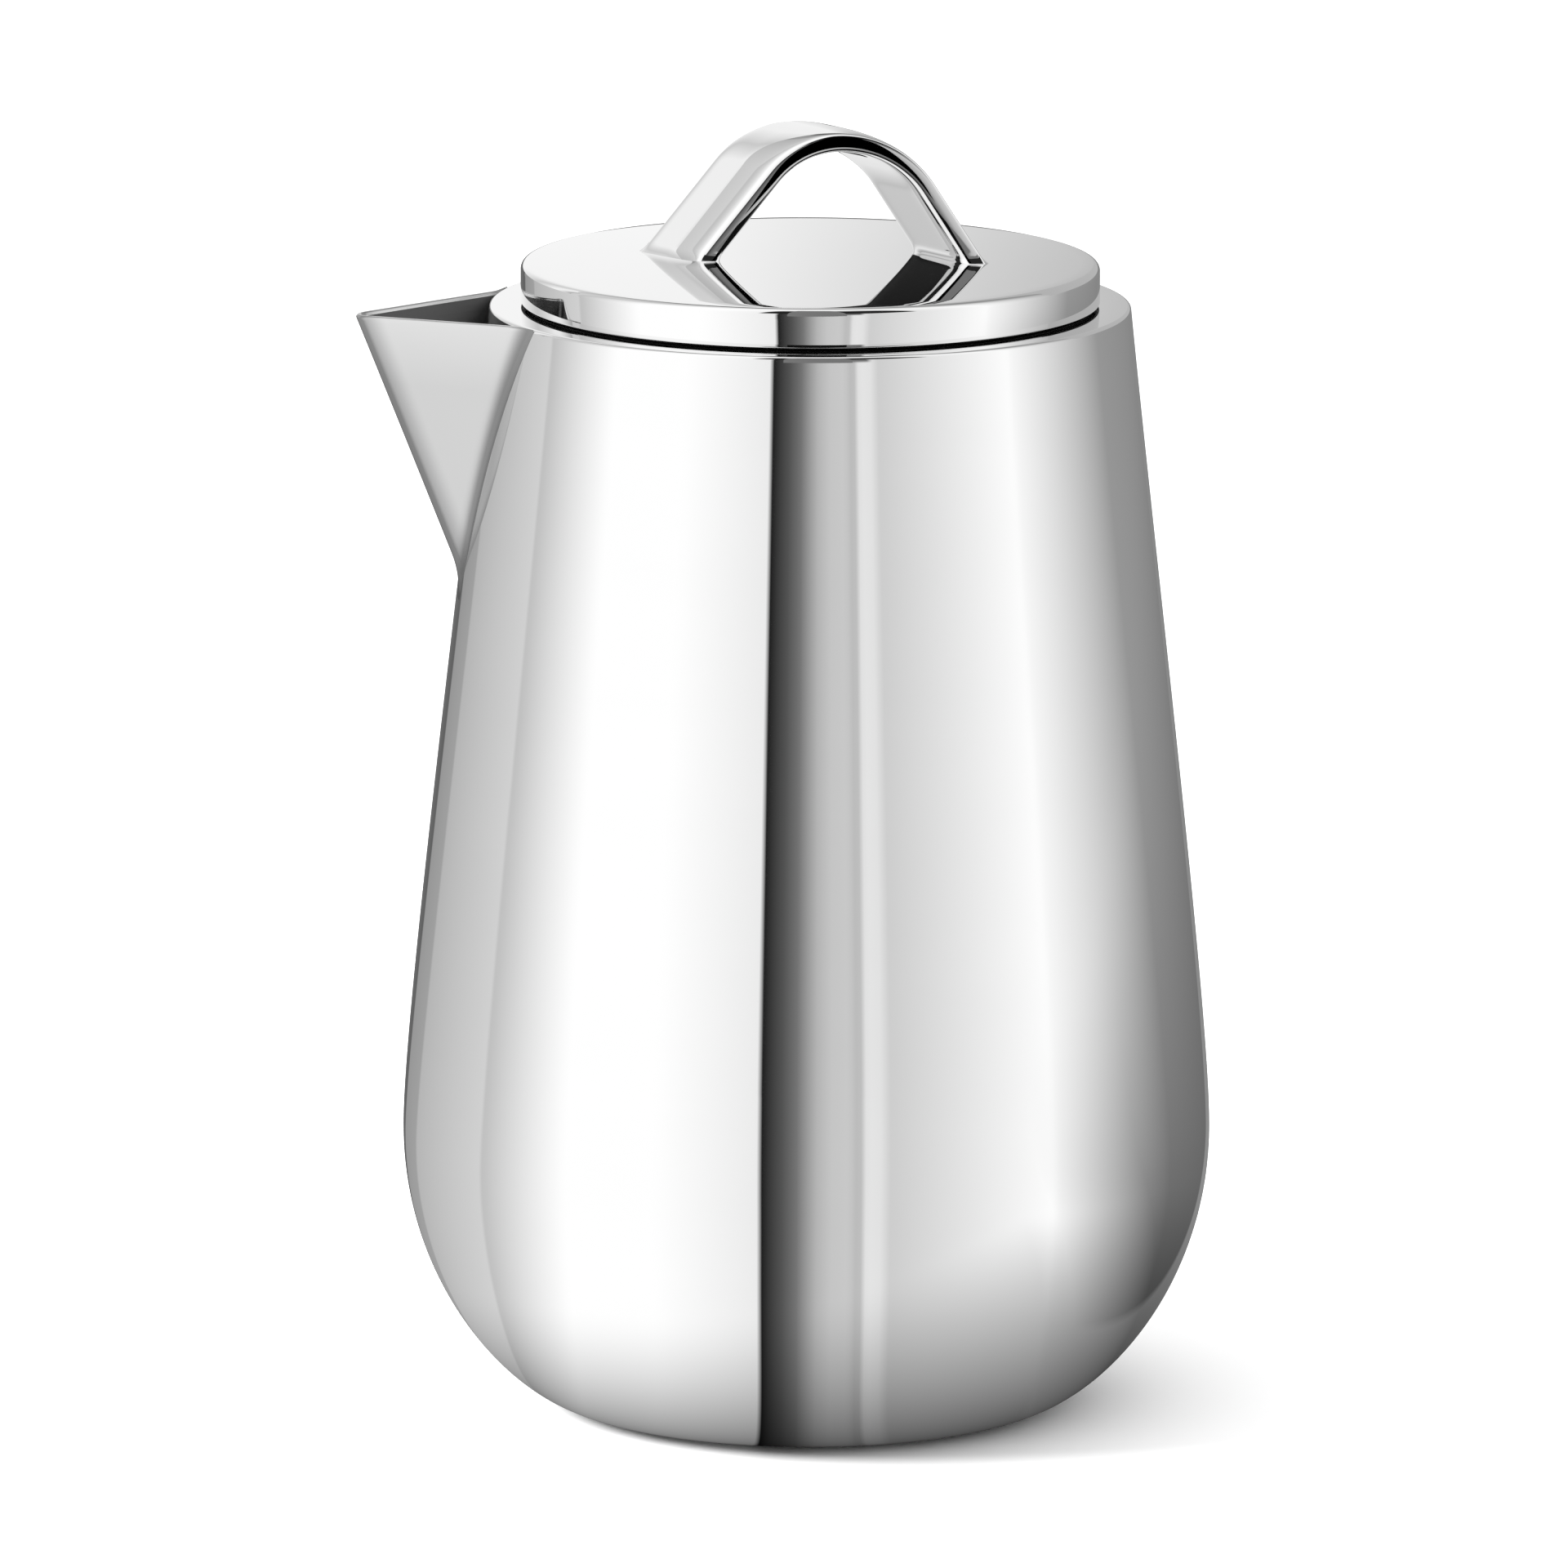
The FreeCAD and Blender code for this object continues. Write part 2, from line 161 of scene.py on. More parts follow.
class Graph:
    """Adds nodes to one node tree."""

    def __init__(self, tree: bpy.types.NodeTree) -> None:
        """Start on an empty tree."""
        self.tree = tree
        tree.nodes.clear()

    @staticmethod
    def find(sockets: Any, key: Union[int, str]) -> bpy.types.NodeSocket:
        """Find a socket.

        Args:
            sockets: A node's inputs or outputs.
            key: The socket's place, identifier or name.

        Returns:
            The socket.
        """
        if isinstance(key, int):
            return sockets[key]
        named = [socket for socket in sockets if socket.identifier == key]
        named += [socket for socket in sockets if socket.name == key and socket.enabled]
        return named[0]

    def node(
        self,
        kind: str,
        settings: Optional[Mapping[str, Any]] = None,
        sockets: Optional[Mapping[Union[int, str], Value]] = None,
    ) -> Outputs:
        """Add a node.

        Args:
            kind: The node's type.
            settings: Its properties. The entry "stops" holds a ramp's (place, grey) pairs.
            sockets: Values or wires for its inputs.

        Returns:
            The node's outputs.
        """
        made = self.tree.nodes.new(kind)
        for name, value in (settings or {}).items():
            if name == "stops":
                self._set_stops(made.color_ramp, value)
            else:
                setattr(made, name, value)
        for key, value in (sockets or {}).items():
            socket = self.find(made.inputs, key)
            if isinstance(value, Wire):
                self.tree.links.new(value.socket, socket)
            else:
                socket.default_value = value
        return Outputs(self, made)

    @staticmethod
    def _set_stops(ramp: bpy.types.ColorRamp, stops: Sequence[Point]) -> None:
        """Give a ramp its stops.

        Args:
            ramp: The ramp, with its two stops as made.
            stops: Place and grey of each stop, in rising order.
        """
        while len(ramp.elements) < len(stops):
            ramp.elements.new(1.0)
        for element, (place, grey) in zip(ramp.elements, stops):
            element.position = place
            element.color = (grey, grey, grey, 1.0)

    def noise(self, coords: Wire, size: float, detail: float = 3.0) -> Wire:
        """Soft random patches from zero to one, of a width in metres, with finer layers."""
        sockets = {"Vector": coords, "Scale": 1 / size, "Detail": detail}
        return self.node("ShaderNodeTexNoise", {}, sockets)["Fac"]

    def stretched(self, coords: Wire, scale: Sequence[float]) -> Wire:
        """Coordinates scaled along X, Y and Z."""
        return self.node("ShaderNodeMapping", {}, {"Vector": coords, "Scale": scale})["Vector"]

    def blend(self, share: Value, first: Colour, second: Colour) -> Wire:
        """A mix of two colours, the first at zero and the second at one."""
        sockets = {"Factor_Float": share, "A_Color": (*first, 1.0), "B_Color": (*second, 1.0)}
        return self.node("ShaderNodeMix", {"data_type": "RGBA"}, sockets)["Result_Color"]

    def shaded(self, colour: Wire, factor: Wire) -> Wire:
        """A colour made lighter or darker by a factor that changes over the surface."""
        return self.node("ShaderNodeVectorMath", {"operation": "SCALE"}, {0: colour, "Scale": factor})[0]

    def bump(self, height: Wire, depth: float) -> Wire:
        """A normal that shows relief from zero to one, of a real depth in metres."""
        sockets = {"Height": height, "Distance": depth, "Strength": 1.0}
        return self.node("ShaderNodeBump", {}, sockets)["Normal"]

    def glow(self, light: Wire) -> Wire:
        """A surface that gives off light."""
        return self.node("ShaderNodeEmission", {}, {"Color": light, "Strength": 1.0})[0]

    def ramp(self, stops: Sequence[Point], place: Wire) -> Wire:
        """Brightness along a ramp with stops of place and grey."""
        colour = self.node("ShaderNodeValToRGB", {"stops": stops}, {"Fac": place})["Color"]
        return self.node("ShaderNodeRGBToBW", {}, {0: colour})[0]

    def vector(self, x: Value, y: Value, z: Value) -> Wire:
        """A vector from three numbers."""
        return self.node("ShaderNodeCombineXYZ", {}, {"X": x, "Y": y, "Z": z})[0]

    def parts(self, vector: Wire) -> Outputs:
        """The X, Y and Z of a vector."""
        return self.node("ShaderNodeSeparateXYZ", {}, {0: vector})

    def point(self) -> Outputs:
        """The X, Y and Z of each point of a shape."""
        return self.parts(self.node("GeometryNodeInputPosition")[0])

    def moved(self, shape: Wire, position: Wire) -> Wire:
        """A shape with its points put in other places."""
        return self.node("GeometryNodeSetPosition", {}, {"Geometry": shape, "Position": position})[0]


def new_material(name: str) -> tuple[bpy.types.Material, Graph]:
    """A new material.

    Args:
        name: Its name.

    Returns:
        The material, and the graph of its empty tree.
    """
    material = bpy.data.materials.new(name)
    material.use_nodes = True
    return material, Graph(material.node_tree)


def add_object(name: str, data: bpy.types.ID) -> bpy.types.Object:
    """Add an object to the scene, at the origin.

    Args:
        name: Its name.
        data: Its mesh, camera or lamp.

    Returns:
        The object.
    """
    made = bpy.data.objects.new(name, data)
    bpy.context.scene.collection.objects.link(made)
    return made


def shade(colour: Colour, factor: float) -> Colour:
    """A colour made lighter or darker by a factor."""
    red, green, blue = (min(1.0, part * factor) for part in colour)
    return red, green, blue


@dataclass(frozen=True)
class Finish:
    """A surface finish with its own material.

    Attributes:
        name: Name of the material.
        colour: Main colour, linear.
        roughness: Main roughness.
    """

    name: str
    colour: Colour
    roughness: float

    def surface(self, graph: Graph, coords: Wire) -> dict[str, Value]:
        """Value or wire of each of the shader's sockets that the finish sets."""
        raise NotImplementedError

    def mottled(self, graph: Graph, share: Wire, low: float, high: float) -> Wire:
        """The main colour, times a low factor where a share is zero and a high one where it is one."""
        return graph.blend(share, shade(self.colour, low), shade(self.colour, high))

    def material(self) -> bpy.types.Material:
        """The finish as a material.

        Returns:
            The material, made when it is first asked for.
        """
        made = bpy.data.materials.get(self.name)
        if made is not None:
            return made
        made, graph = new_material(self.name)
        coords = graph.node("ShaderNodeTexCoord")["Object"]
        shader = graph.node("ShaderNodeBsdfPrincipled", {}, self.surface(graph, coords))
        graph.node("ShaderNodeOutputMaterial", {}, {"Surface": shader["BSDF"]})
        return made


@dataclass(frozen=True)
class PolishedSteel(Finish):
    """Mirror-polished sheet, with faint wiping haze and a slight ripple from forming."""

    haze: float = 0.03
    haze_size: float = 26 * MM
    haze_detail: float = 6.0
    tint: float = 0.015
    ripple: float = 0.004 * MM
    ripple_size: float = 30 * MM
    wipe_stretch: Colour = (0.4, 0.4, 1.6)

    def surface(self, graph: Graph, coords: Wire) -> dict[str, Value]:
        """Values for the shader's sockets.

        Args:
            graph: The material's graph.
            coords: Object coordinates.

        Returns:
            Value or wire of each socket that the finish sets.
        """
        wiped = graph.noise(graph.stretched(coords, self.wipe_stretch), self.haze_size, self.haze_detail)
        ripple = graph.noise(coords, self.ripple_size, 0.0)
        return {
            "Base Color": self.mottled(graph, wiped, 1 - self.tint, 1 + self.tint),
            "Metallic": 1.0,
            "Roughness": self.roughness + self.haze * wiped * wiped,
            "Normal": graph.bump(ripple, self.ripple),
        }


@dataclass(frozen=True, kw_only=True)
class FoldedSteel(PolishedSteel):
    """Dull folded sheet, darker towards its fold and its seam, and lighter towards its upper edge.

    Attributes:
        fold: Distance from the axis to the fold at the upper edge.
        top: Height of the upper edge.
        slope: How far the fold draws back for each unit of height below the upper edge.
        rim: Radius of the wall that the sheet meets, at the upper edge.
        lean: How much wider that wall gets for each unit of height below.
    """

    fold: float
    top: float
    slope: float
    rim: float
    lean: float
    fold_width: float = 4.2 * MM
    fold_shade: float = 0.45
    top_width: float = 11 * MM
    painted_top_light: float = 0.16
    seam_width: float = 1.3 * MM
    seam_shade: float = 0.4

    def surface(self, graph: Graph, coords: Wire) -> dict[str, Value]:
        """Values for the shader's sockets.

        Args:
            graph: The material's graph.
            coords: Object coordinates.

        Returns:
            Value or wire of each socket that the finish sets.
        """
        values = super().surface(graph, coords)
        place = graph.parts(coords)
        below = self.top - place["Z"]
        behind = self.fold - self.slope * below + place["X"]
        near = (1 - behind / self.fold_width).bounded()
        high = (1 - below / self.top_width).bounded()
        across = (place["X"] * place["X"] + place["Y"] * place["Y"]).sqrt()
        seam = (1 - (across - self.rim - self.lean * below) / self.seam_width).bounded()
        # Painted shade darkens the colour towards the fold and along the seam, and painted light
        # brightens it towards the upper edge.
        painted_shade = (1 - self.fold_shade * near.eased()) * (1 - self.seam_shade * seam.eased())
        values["Base Color"] = graph.shaded(values["Base Color"], painted_shade * (1 + self.painted_top_light * high))
        return values


@dataclass(frozen=True)
class SatinSteel(Finish):
    """Turned steel with fine marks that run round the pot's axis."""

    mark: float = 0.006 * MM
    mark_size: float = 0.35 * MM
    mark_detail: float = 4.0
    mark_shade: float = 0.93
    mark_shine: float = 1.06
    mark_roughness: float = 0.10
    along_marks: float = 0.02
    patch_size: float = 18 * MM
    patch_roughness: float = 0.06

    def surface(self, graph: Graph, coords: Wire) -> dict[str, Value]:
        """Values for the shader's sockets.

        Args:
            graph: The material's graph.
            coords: Object coordinates.

        Returns:
            Value or wire of each socket that the finish sets.
        """
        round_axis = (self.along_marks, self.along_marks, 1.0)
        marks = graph.noise(graph.stretched(coords, round_axis), self.mark_size, self.mark_detail)
        patches = graph.noise(coords, self.patch_size)
        return {
            "Base Color": self.mottled(graph, marks, self.mark_shade, self.mark_shine),
            "Metallic": 1.0,
            "Roughness": self.roughness + self.mark_roughness * marks + self.patch_roughness * patches,
            "Normal": graph.bump(marks, self.mark),
        }


@dataclass(frozen=True)
class Crinkled(Finish):
    """Metal foil with sharp small folds."""

    fold: float = 0.25 * MM
    fold_size: float = 5 * MM
    fold_shade: float = 0.9
    fold_roughness: float = 0.1

    def surface(self, graph: Graph, coords: Wire) -> dict[str, Value]:
        """Values for the shader's sockets.

        Args:
            graph: The material's graph.
            coords: Object coordinates.

        Returns:
            Value or wire of each socket that the finish sets.
        """
        sockets = {"Vector": coords, "Scale": 1 / self.fold_size}
        folds = graph.node("ShaderNodeTexVoronoi", {"feature": "DISTANCE_TO_EDGE"}, sockets)["Distance"]
        return {
            "Base Color": self.mottled(graph, folds, self.fold_shade, 1.0),
            "Metallic": 1.0,
            "Roughness": self.roughness + self.fold_roughness * folds,
            "Normal": graph.bump(folds, self.fold),
        }


@dataclass(frozen=True)
class Grained(Finish):
    """A dull surface of fine grains, such as moulded rubber, sintered metal, solder or foam."""

    metallic: float = 0.0
    grain: float = 0.02 * MM
    grain_size: float = 0.25 * MM
    grain_detail: float = 2.0
    grain_share: float = 0.6
    patch_size: float = 9 * MM
    patch_roughness: float = 0.12
    contrast: float = 0.12
    gloss: float = 0.5

    def surface(self, graph: Graph, coords: Wire) -> dict[str, Value]:
        """Values for the shader's sockets.

        Args:
            graph: The material's graph.
            coords: Object coordinates.

        Returns:
            Value or wire of each socket that the finish sets.
        """
        grains = graph.noise(coords, self.grain_size, self.grain_detail)
        patches = graph.noise(coords, self.patch_size)
        mottle = self.grain_share * grains + (1 - self.grain_share) * patches
        return {
            "Base Color": self.mottled(graph, mottle, 1 - self.contrast, 1 + self.contrast),
            "Metallic": self.metallic,
            "Roughness": self.roughness + self.patch_roughness * patches,
            "Specular IOR Level": self.gloss,
            "Normal": graph.bump(grains, self.grain),
        }


POLISHED = PolishedSteel("steel_polished", (0.88, 0.88, 0.88), 0.015)
# The dark colour here is painted shade inside the spout's channel, not the steel's own colour.
SHADED_CHANNEL_STEEL = SatinSteel("steel_satin_channel", (0.12, 0.12, 0.12), 0.30)
SATIN = SatinSteel("steel_satin", (0.62, 0.62, 0.61), 0.22)
FASTENER = SatinSteel("steel_turned", (0.55, 0.55, 0.55), 0.3)
FOIL = Crinkled("foil_bright", (0.85, 0.85, 0.86), 0.12)
GETTER = Grained("sinter_dark", (0.16, 0.16, 0.17), 0.55, metallic=0.8, grain=0.05 * MM)
SOLDER = Grained("solder_dull", (0.60, 0.58, 0.52), 0.38, metallic=1.0, grain_size=0.6 * MM)
GREY_SILICONE = Grained("silicone_grey", (0.10, 0.10, 0.105), 0.6)
BLACK_SILICONE = Grained("silicone_black", (0.004, 0.004, 0.004), 0.6, contrast=0.25, gloss=0.12)
FOAM = Grained("foam_cream", (0.86, 0.84, 0.77), 0.8, grain=0.15 * MM, grain_size=0.7 * MM)


class NodeForm:
    """A Geometry Nodes tree with named inputs, baked to a plain mesh when it is used."""

    YES_NO = {"data_type": "BOOLEAN"}

    def __init__(self, name: str) -> None:
        """Start a tree with a mesh going in and out.

        Args:
            name: The tree's name.
        """
        self.group = bpy.data.node_groups.new(name, "GeometryNodeTree")
        self.graph = Graph(self.group)
        self.identifiers: dict[str, str] = {}
        for way in ("INPUT", "OUTPUT"):
            self.group.interface.new_socket("Geometry", in_out=way, socket_type="NodeSocketGeometry")
        self.entry = self.graph.node("NodeGroupInput")

    def given(self, name: str, kind: str = "NodeSocketFloat") -> Wire:
        """Add a named input to the tree.

        Args:
            name: The input's name.
            kind: The input's socket type.

        Returns:
            The input's value.
        """
        item = self.group.interface.new_socket(name, in_out="INPUT", socket_type=kind)
        self.identifiers[name] = item.identifier
        return self.entry[item.identifier]

    def close(
        self, mesh: Wire, patches: Optional[Mapping[str, str]] = None, weld: float = 0.001 * MM
    ) -> None:
        """End the tree with a welded, smooth and dressed mesh.

        Args:
            mesh: The shape so far.
            patches: Face attributes, each with the name of the input that holds its own material.
            weld: Points nearer than this become one.
        """
        material = self.given("Material", "NodeSocketMaterial")
        real = self.graph.node("GeometryNodeRealizeInstances", {}, {"Geometry": mesh})[0]
        merged = {"Geometry": real, "Distance": weld}
        whole = self.graph.node("GeometryNodeMergeByDistance", {}, merged)[0]
        smooth = self.graph.node("GeometryNodeSetShadeSmooth", {}, {"Geometry": whole})[0]
        dressed = {"Geometry": smooth, "Material": material}
        last = self.graph.node("GeometryNodeSetMaterial", {}, dressed)[0]
        for attribute, name in (patches or {}).items():
            mark = self.graph.node("GeometryNodeInputNamedAttribute", self.YES_NO, {"Name": attribute})[0]
            material = self.given(name, "NodeSocketMaterial")
            patch = {"Geometry": last, "Selection": mark, "Material": material}
            last = self.graph.node("GeometryNodeSetMaterial", {}, patch)[0]
        self.graph.node("NodeGroupOutput", {}, {"Geometry": last})

    def bake(self, name: str, start: bpy.types.Mesh, sizes: Mapping[str, Any]) -> bpy.types.Object:
        """Make an object with the tree's shape as its plain mesh.

        Args:
            name: The object's name.
            start: Mesh that goes into the tree.
            sizes: Value of each named input.

        Returns:
            The object, with no modifier left on it.
        """
        piece = add_object(name, start)
        modifier = piece.modifiers.new("form", "NODES")
        modifier.node_group = self.group
        for key, value in sizes.items():
            modifier[self.identifiers[key]] = value
        apply_modifiers(piece)
        turn_faces_out(piece.data)
        return piece


def apply_modifiers(piece: bpy.types.Object) -> None:
    """Turn an object's evaluated shape into its plain mesh, and remove its modifiers.

    Args:
        piece: The object.
    """
    shape = piece.evaluated_get(bpy.context.evaluated_depsgraph_get())
    mesh = bpy.data.meshes.new_from_object(shape)
    piece.modifiers.clear()
    old = piece.data
    piece.data = mesh
    mesh.name = piece.name
    bpy.data.meshes.remove(old)


def turn_faces_out(mesh: bpy.types.Mesh) -> None:
    """Point all faces outwards, and keep edges sharp where faces meet at a corner.

    Args:
        mesh: The mesh.
    """
    work = bmesh.new()
    work.from_mesh(mesh)
    bmesh.ops.dissolve_degenerate(work, edges=work.edges, dist=NO_LENGTH)
    bmesh.ops.recalc_face_normals(work, faces=work.faces)
    work.to_mesh(mesh)
    work.free()
    mesh.set_sharp_from_angle(angle=SHARP_ANGLE)


def bezier(poles: Sequence[Point], share: float) -> Point:
    """A point of a cubic curve.

    Args:
        poles: The curve's four poles.
        share: Place along the curve, from zero to one.

    Returns:
        Radius and height of the point.
    """
    rest = 1 - share
    weights = (rest ** 3, 3 * rest ** 2 * share, 3 * rest * share ** 2, share ** 3)
    radius = sum(weight * pole[0] for weight, pole in zip(weights, poles))
    height = sum(weight * pole[1] for weight, pole in zip(weights, poles))
    return radius, height


def solve(rule: Callable[[float], float], low: float, high: float) -> float:
    """Where a rising rule crosses zero.

    Args:
        rule: A rule that rises from below zero to above zero.
        low: Where the search starts.
        high: Where the search ends.

    Returns:
        The crossing.
    """
    for _ in range(HALVINGS):
        middle = (low + high) / 2
        if rule(middle) < 0:
            low = middle
        else:
            high = middle
    return (low + high) / 2


def share_at(poles: Sequence[Point], height: float) -> float:
    """Place along a rising cubic curve where it reaches a height."""
    return solve(lambda share: bezier(poles, share)[1] - height, 0.0, 1.0)


def stretch(poles: Sequence[Point], start: float, end: float, steps: int) -> list[Point]:
    """Points of a cubic curve from one place along it to another."""
    return [bezier(poles, start + (end - start) * step / steps) for step in range(steps + 1)]


def sharp(points: Sequence[Point]) -> list[Corner]:
    """Points of an outline as corners with no rounding."""
    return [(radius, height, 0.0) for radius, height in points]


def rounded(corners: Sequence[Corner], closed: bool, steps: int = 6) -> list[Point]:
    """An outline with its corners rounded by arcs.

    Args:
        corners: Radius, height and rounding of each corner.
        closed: Whether the last corner joins the first.
        steps: Straight pieces in each arc.

    Returns:
        Points of the outline.
    """
    points: list[Point] = []
    count = len(corners)
    for index, (radius, height, rounding) in enumerate(corners):
        at = Vector((radius, height))
        inner = closed or 0 < index < count - 1
        if not inner or rounding == 0:
            points.append((radius, height))
            continue
        before = Vector(corners[index - 1][:2]) - at
        after = Vector(corners[(index + 1) % count][:2]) - at
        half = before.angle(after) / 2
        inwards = (before.normalized() + after.normalized()).normalized()
        middle = at + inwards * (rounding / math.sin(half))
        first = at + before.normalized() * (rounding / math.tan(half)) - middle
        last = at + after.normalized() * (rounding / math.tan(half)) - middle
        sweep = first.angle(last)
        for step in range(steps + 1):
            share = step / steps
            turn = first * math.sin((1 - share) * sweep) + last * math.sin(share * sweep)
            place = middle + turn / math.sin(sweep)
            points.append((place.x, place.y))
    return points


def line_mesh(name: str, points: Sequence[Point], closed: bool) -> bpy.types.Mesh:
    """A line in the XZ plane.

    Args:
        name: The mesh's name.
        points: Place along X and Z of its points.
        closed: Whether the last point joins the first.

    Returns:
        The line.
    """
    edges = [(index, index + 1) for index in range(len(points) - 1)]
    if closed:
        edges.append((len(points) - 1, 0))
    mesh = bpy.data.meshes.new(name)
    mesh.from_pydata([(x, 0.0, z) for x, z in points], edges, [])
    return mesh


class TurnedForm(NodeForm):
    """Turns an outline, drawn in the XZ plane, a full circle about the Z axis."""

    MANDREL = 1 * MM

    def __init__(self) -> None:
        """Build the tree: the outline is swept round a small circle on the axis."""
        super().__init__("turned_piece")
        graph = self.graph
        segments = self.given("Segments", "NodeSocketInt")
        ring = {"Resolution": segments, "Radius": self.MANDREL}
        circle = graph.node("GeometryNodeCurvePrimitiveCircle", {}, ring)[0]
        outline = graph.node("GeometryNodeMeshToCurve", {}, {0: self.entry["Geometry"]})[0]
        place = graph.point()
        outline = graph.moved(outline, graph.vector(place["X"] - self.MANDREL, -place["Z"], 0.0))
        turned = graph.node("GeometryNodeCurveToMesh", {}, {"Curve": circle, "Profile Curve": outline})[0]
        self.close(turned)

    def turn(
        self, name: str, outline: Sequence[Point], closed: bool, finish: Finish, segments: int = 256
    ) -> bpy.types.Object:
        """Make a turned piece. An open outline starts and ends on the axis."""
        sizes = {"Segments": segments, "Material": finish.material()}
        return self.bake(name, line_mesh(name, outline, closed), sizes)


@dataclass
class PotForm:
    """Sizes that give the pot its outline, and the curves that follow from them."""

    rim_height: float = 172.3 * MM
    rim_radius: float = 49.3 * MM
    belly_radius: float = 62.5 * MM
    belly_height: float = 43.5 * MM
    heel_radius: float = 36.5 * MM
    heel_pull: float = 8 * MM
    belly_pull_below: float = 26 * MM
    belly_pull_above: float = 18 * MM
    rim_pull: float = 34 * MM
    rim_lean: float = math.radians(5.8)
    foot_height: float = 0.8 * MM
    ring_width: float = 7.8 * MM
    ring_thickness: float = 1.2 * MM
    liner_wall: float = 0.7 * MM

    @property
    def neck_outer(self) -> float:
        """Outer radius of the neck, where the ring meets it."""
        return self.rim_radius - self.ring_width

    @property
    def neck_radius(self) -> float:
        """Inner radius of the neck."""
        return self.neck_outer - self.liner_wall

    @property
    def ring_bottom(self) -> float:
        """Height of the ring's lower face."""
        return self.rim_height - self.ring_thickness

    def wall_poles(self, inset: float = 0.0) -> tuple[Point, ...]:
        """Poles of the wall from the belly to the rim.

        Args:
            inset: How far the wall is moved in.

        Returns:
            The four poles.
        """
        belly = self.belly_radius - inset
        rim = self.rim_radius - inset
        return (
            (belly, self.belly_height),
            (belly, self.belly_height + self.belly_pull_above),
            (rim + math.tan(self.rim_lean) * self.rim_pull, self.rim_height - self.rim_pull),
            (rim, self.rim_height),
        )

    def heel_poles(self, inset: float, floor: float) -> tuple[Point, ...]:
        """Poles of the heel from a floor up to the belly.

        Args:
            inset: How far the heel is moved in.
            floor: Height where it starts.

        Returns:
            The four poles.
        """
        belly = self.belly_radius - inset
        return (
            (self.heel_radius, floor),
            (self.heel_radius + self.heel_pull, floor),
            (belly, self.belly_height - self.belly_pull_below),
            (belly, self.belly_height),
        )

    def wall(self, inset: float, top: float, steps: int) -> list[Point]:
        """Points of the wall, moved in by inset, from the belly up to a height."""
        return stretch(self.wall_poles(inset), 0.0, share_at(self.wall_poles(), top), steps)

    def heel(self, inset: float, floor: float, steps: int, top: Optional[float] = None) -> list[Point]:
        """Points of the heel from a floor up to the belly, or to a lower height.

        Args:
            inset: How far the heel is moved in.
            floor: Height where it starts.
            steps: Straight pieces along it.
            top: Height where it ends, if that is below the belly.

        Returns:
            The points.
        """
        poles = self.heel_poles(inset, floor)
        end = 1.0 if top is None else share_at(poles, top)
        return stretch(poles, 0.0, end, steps)


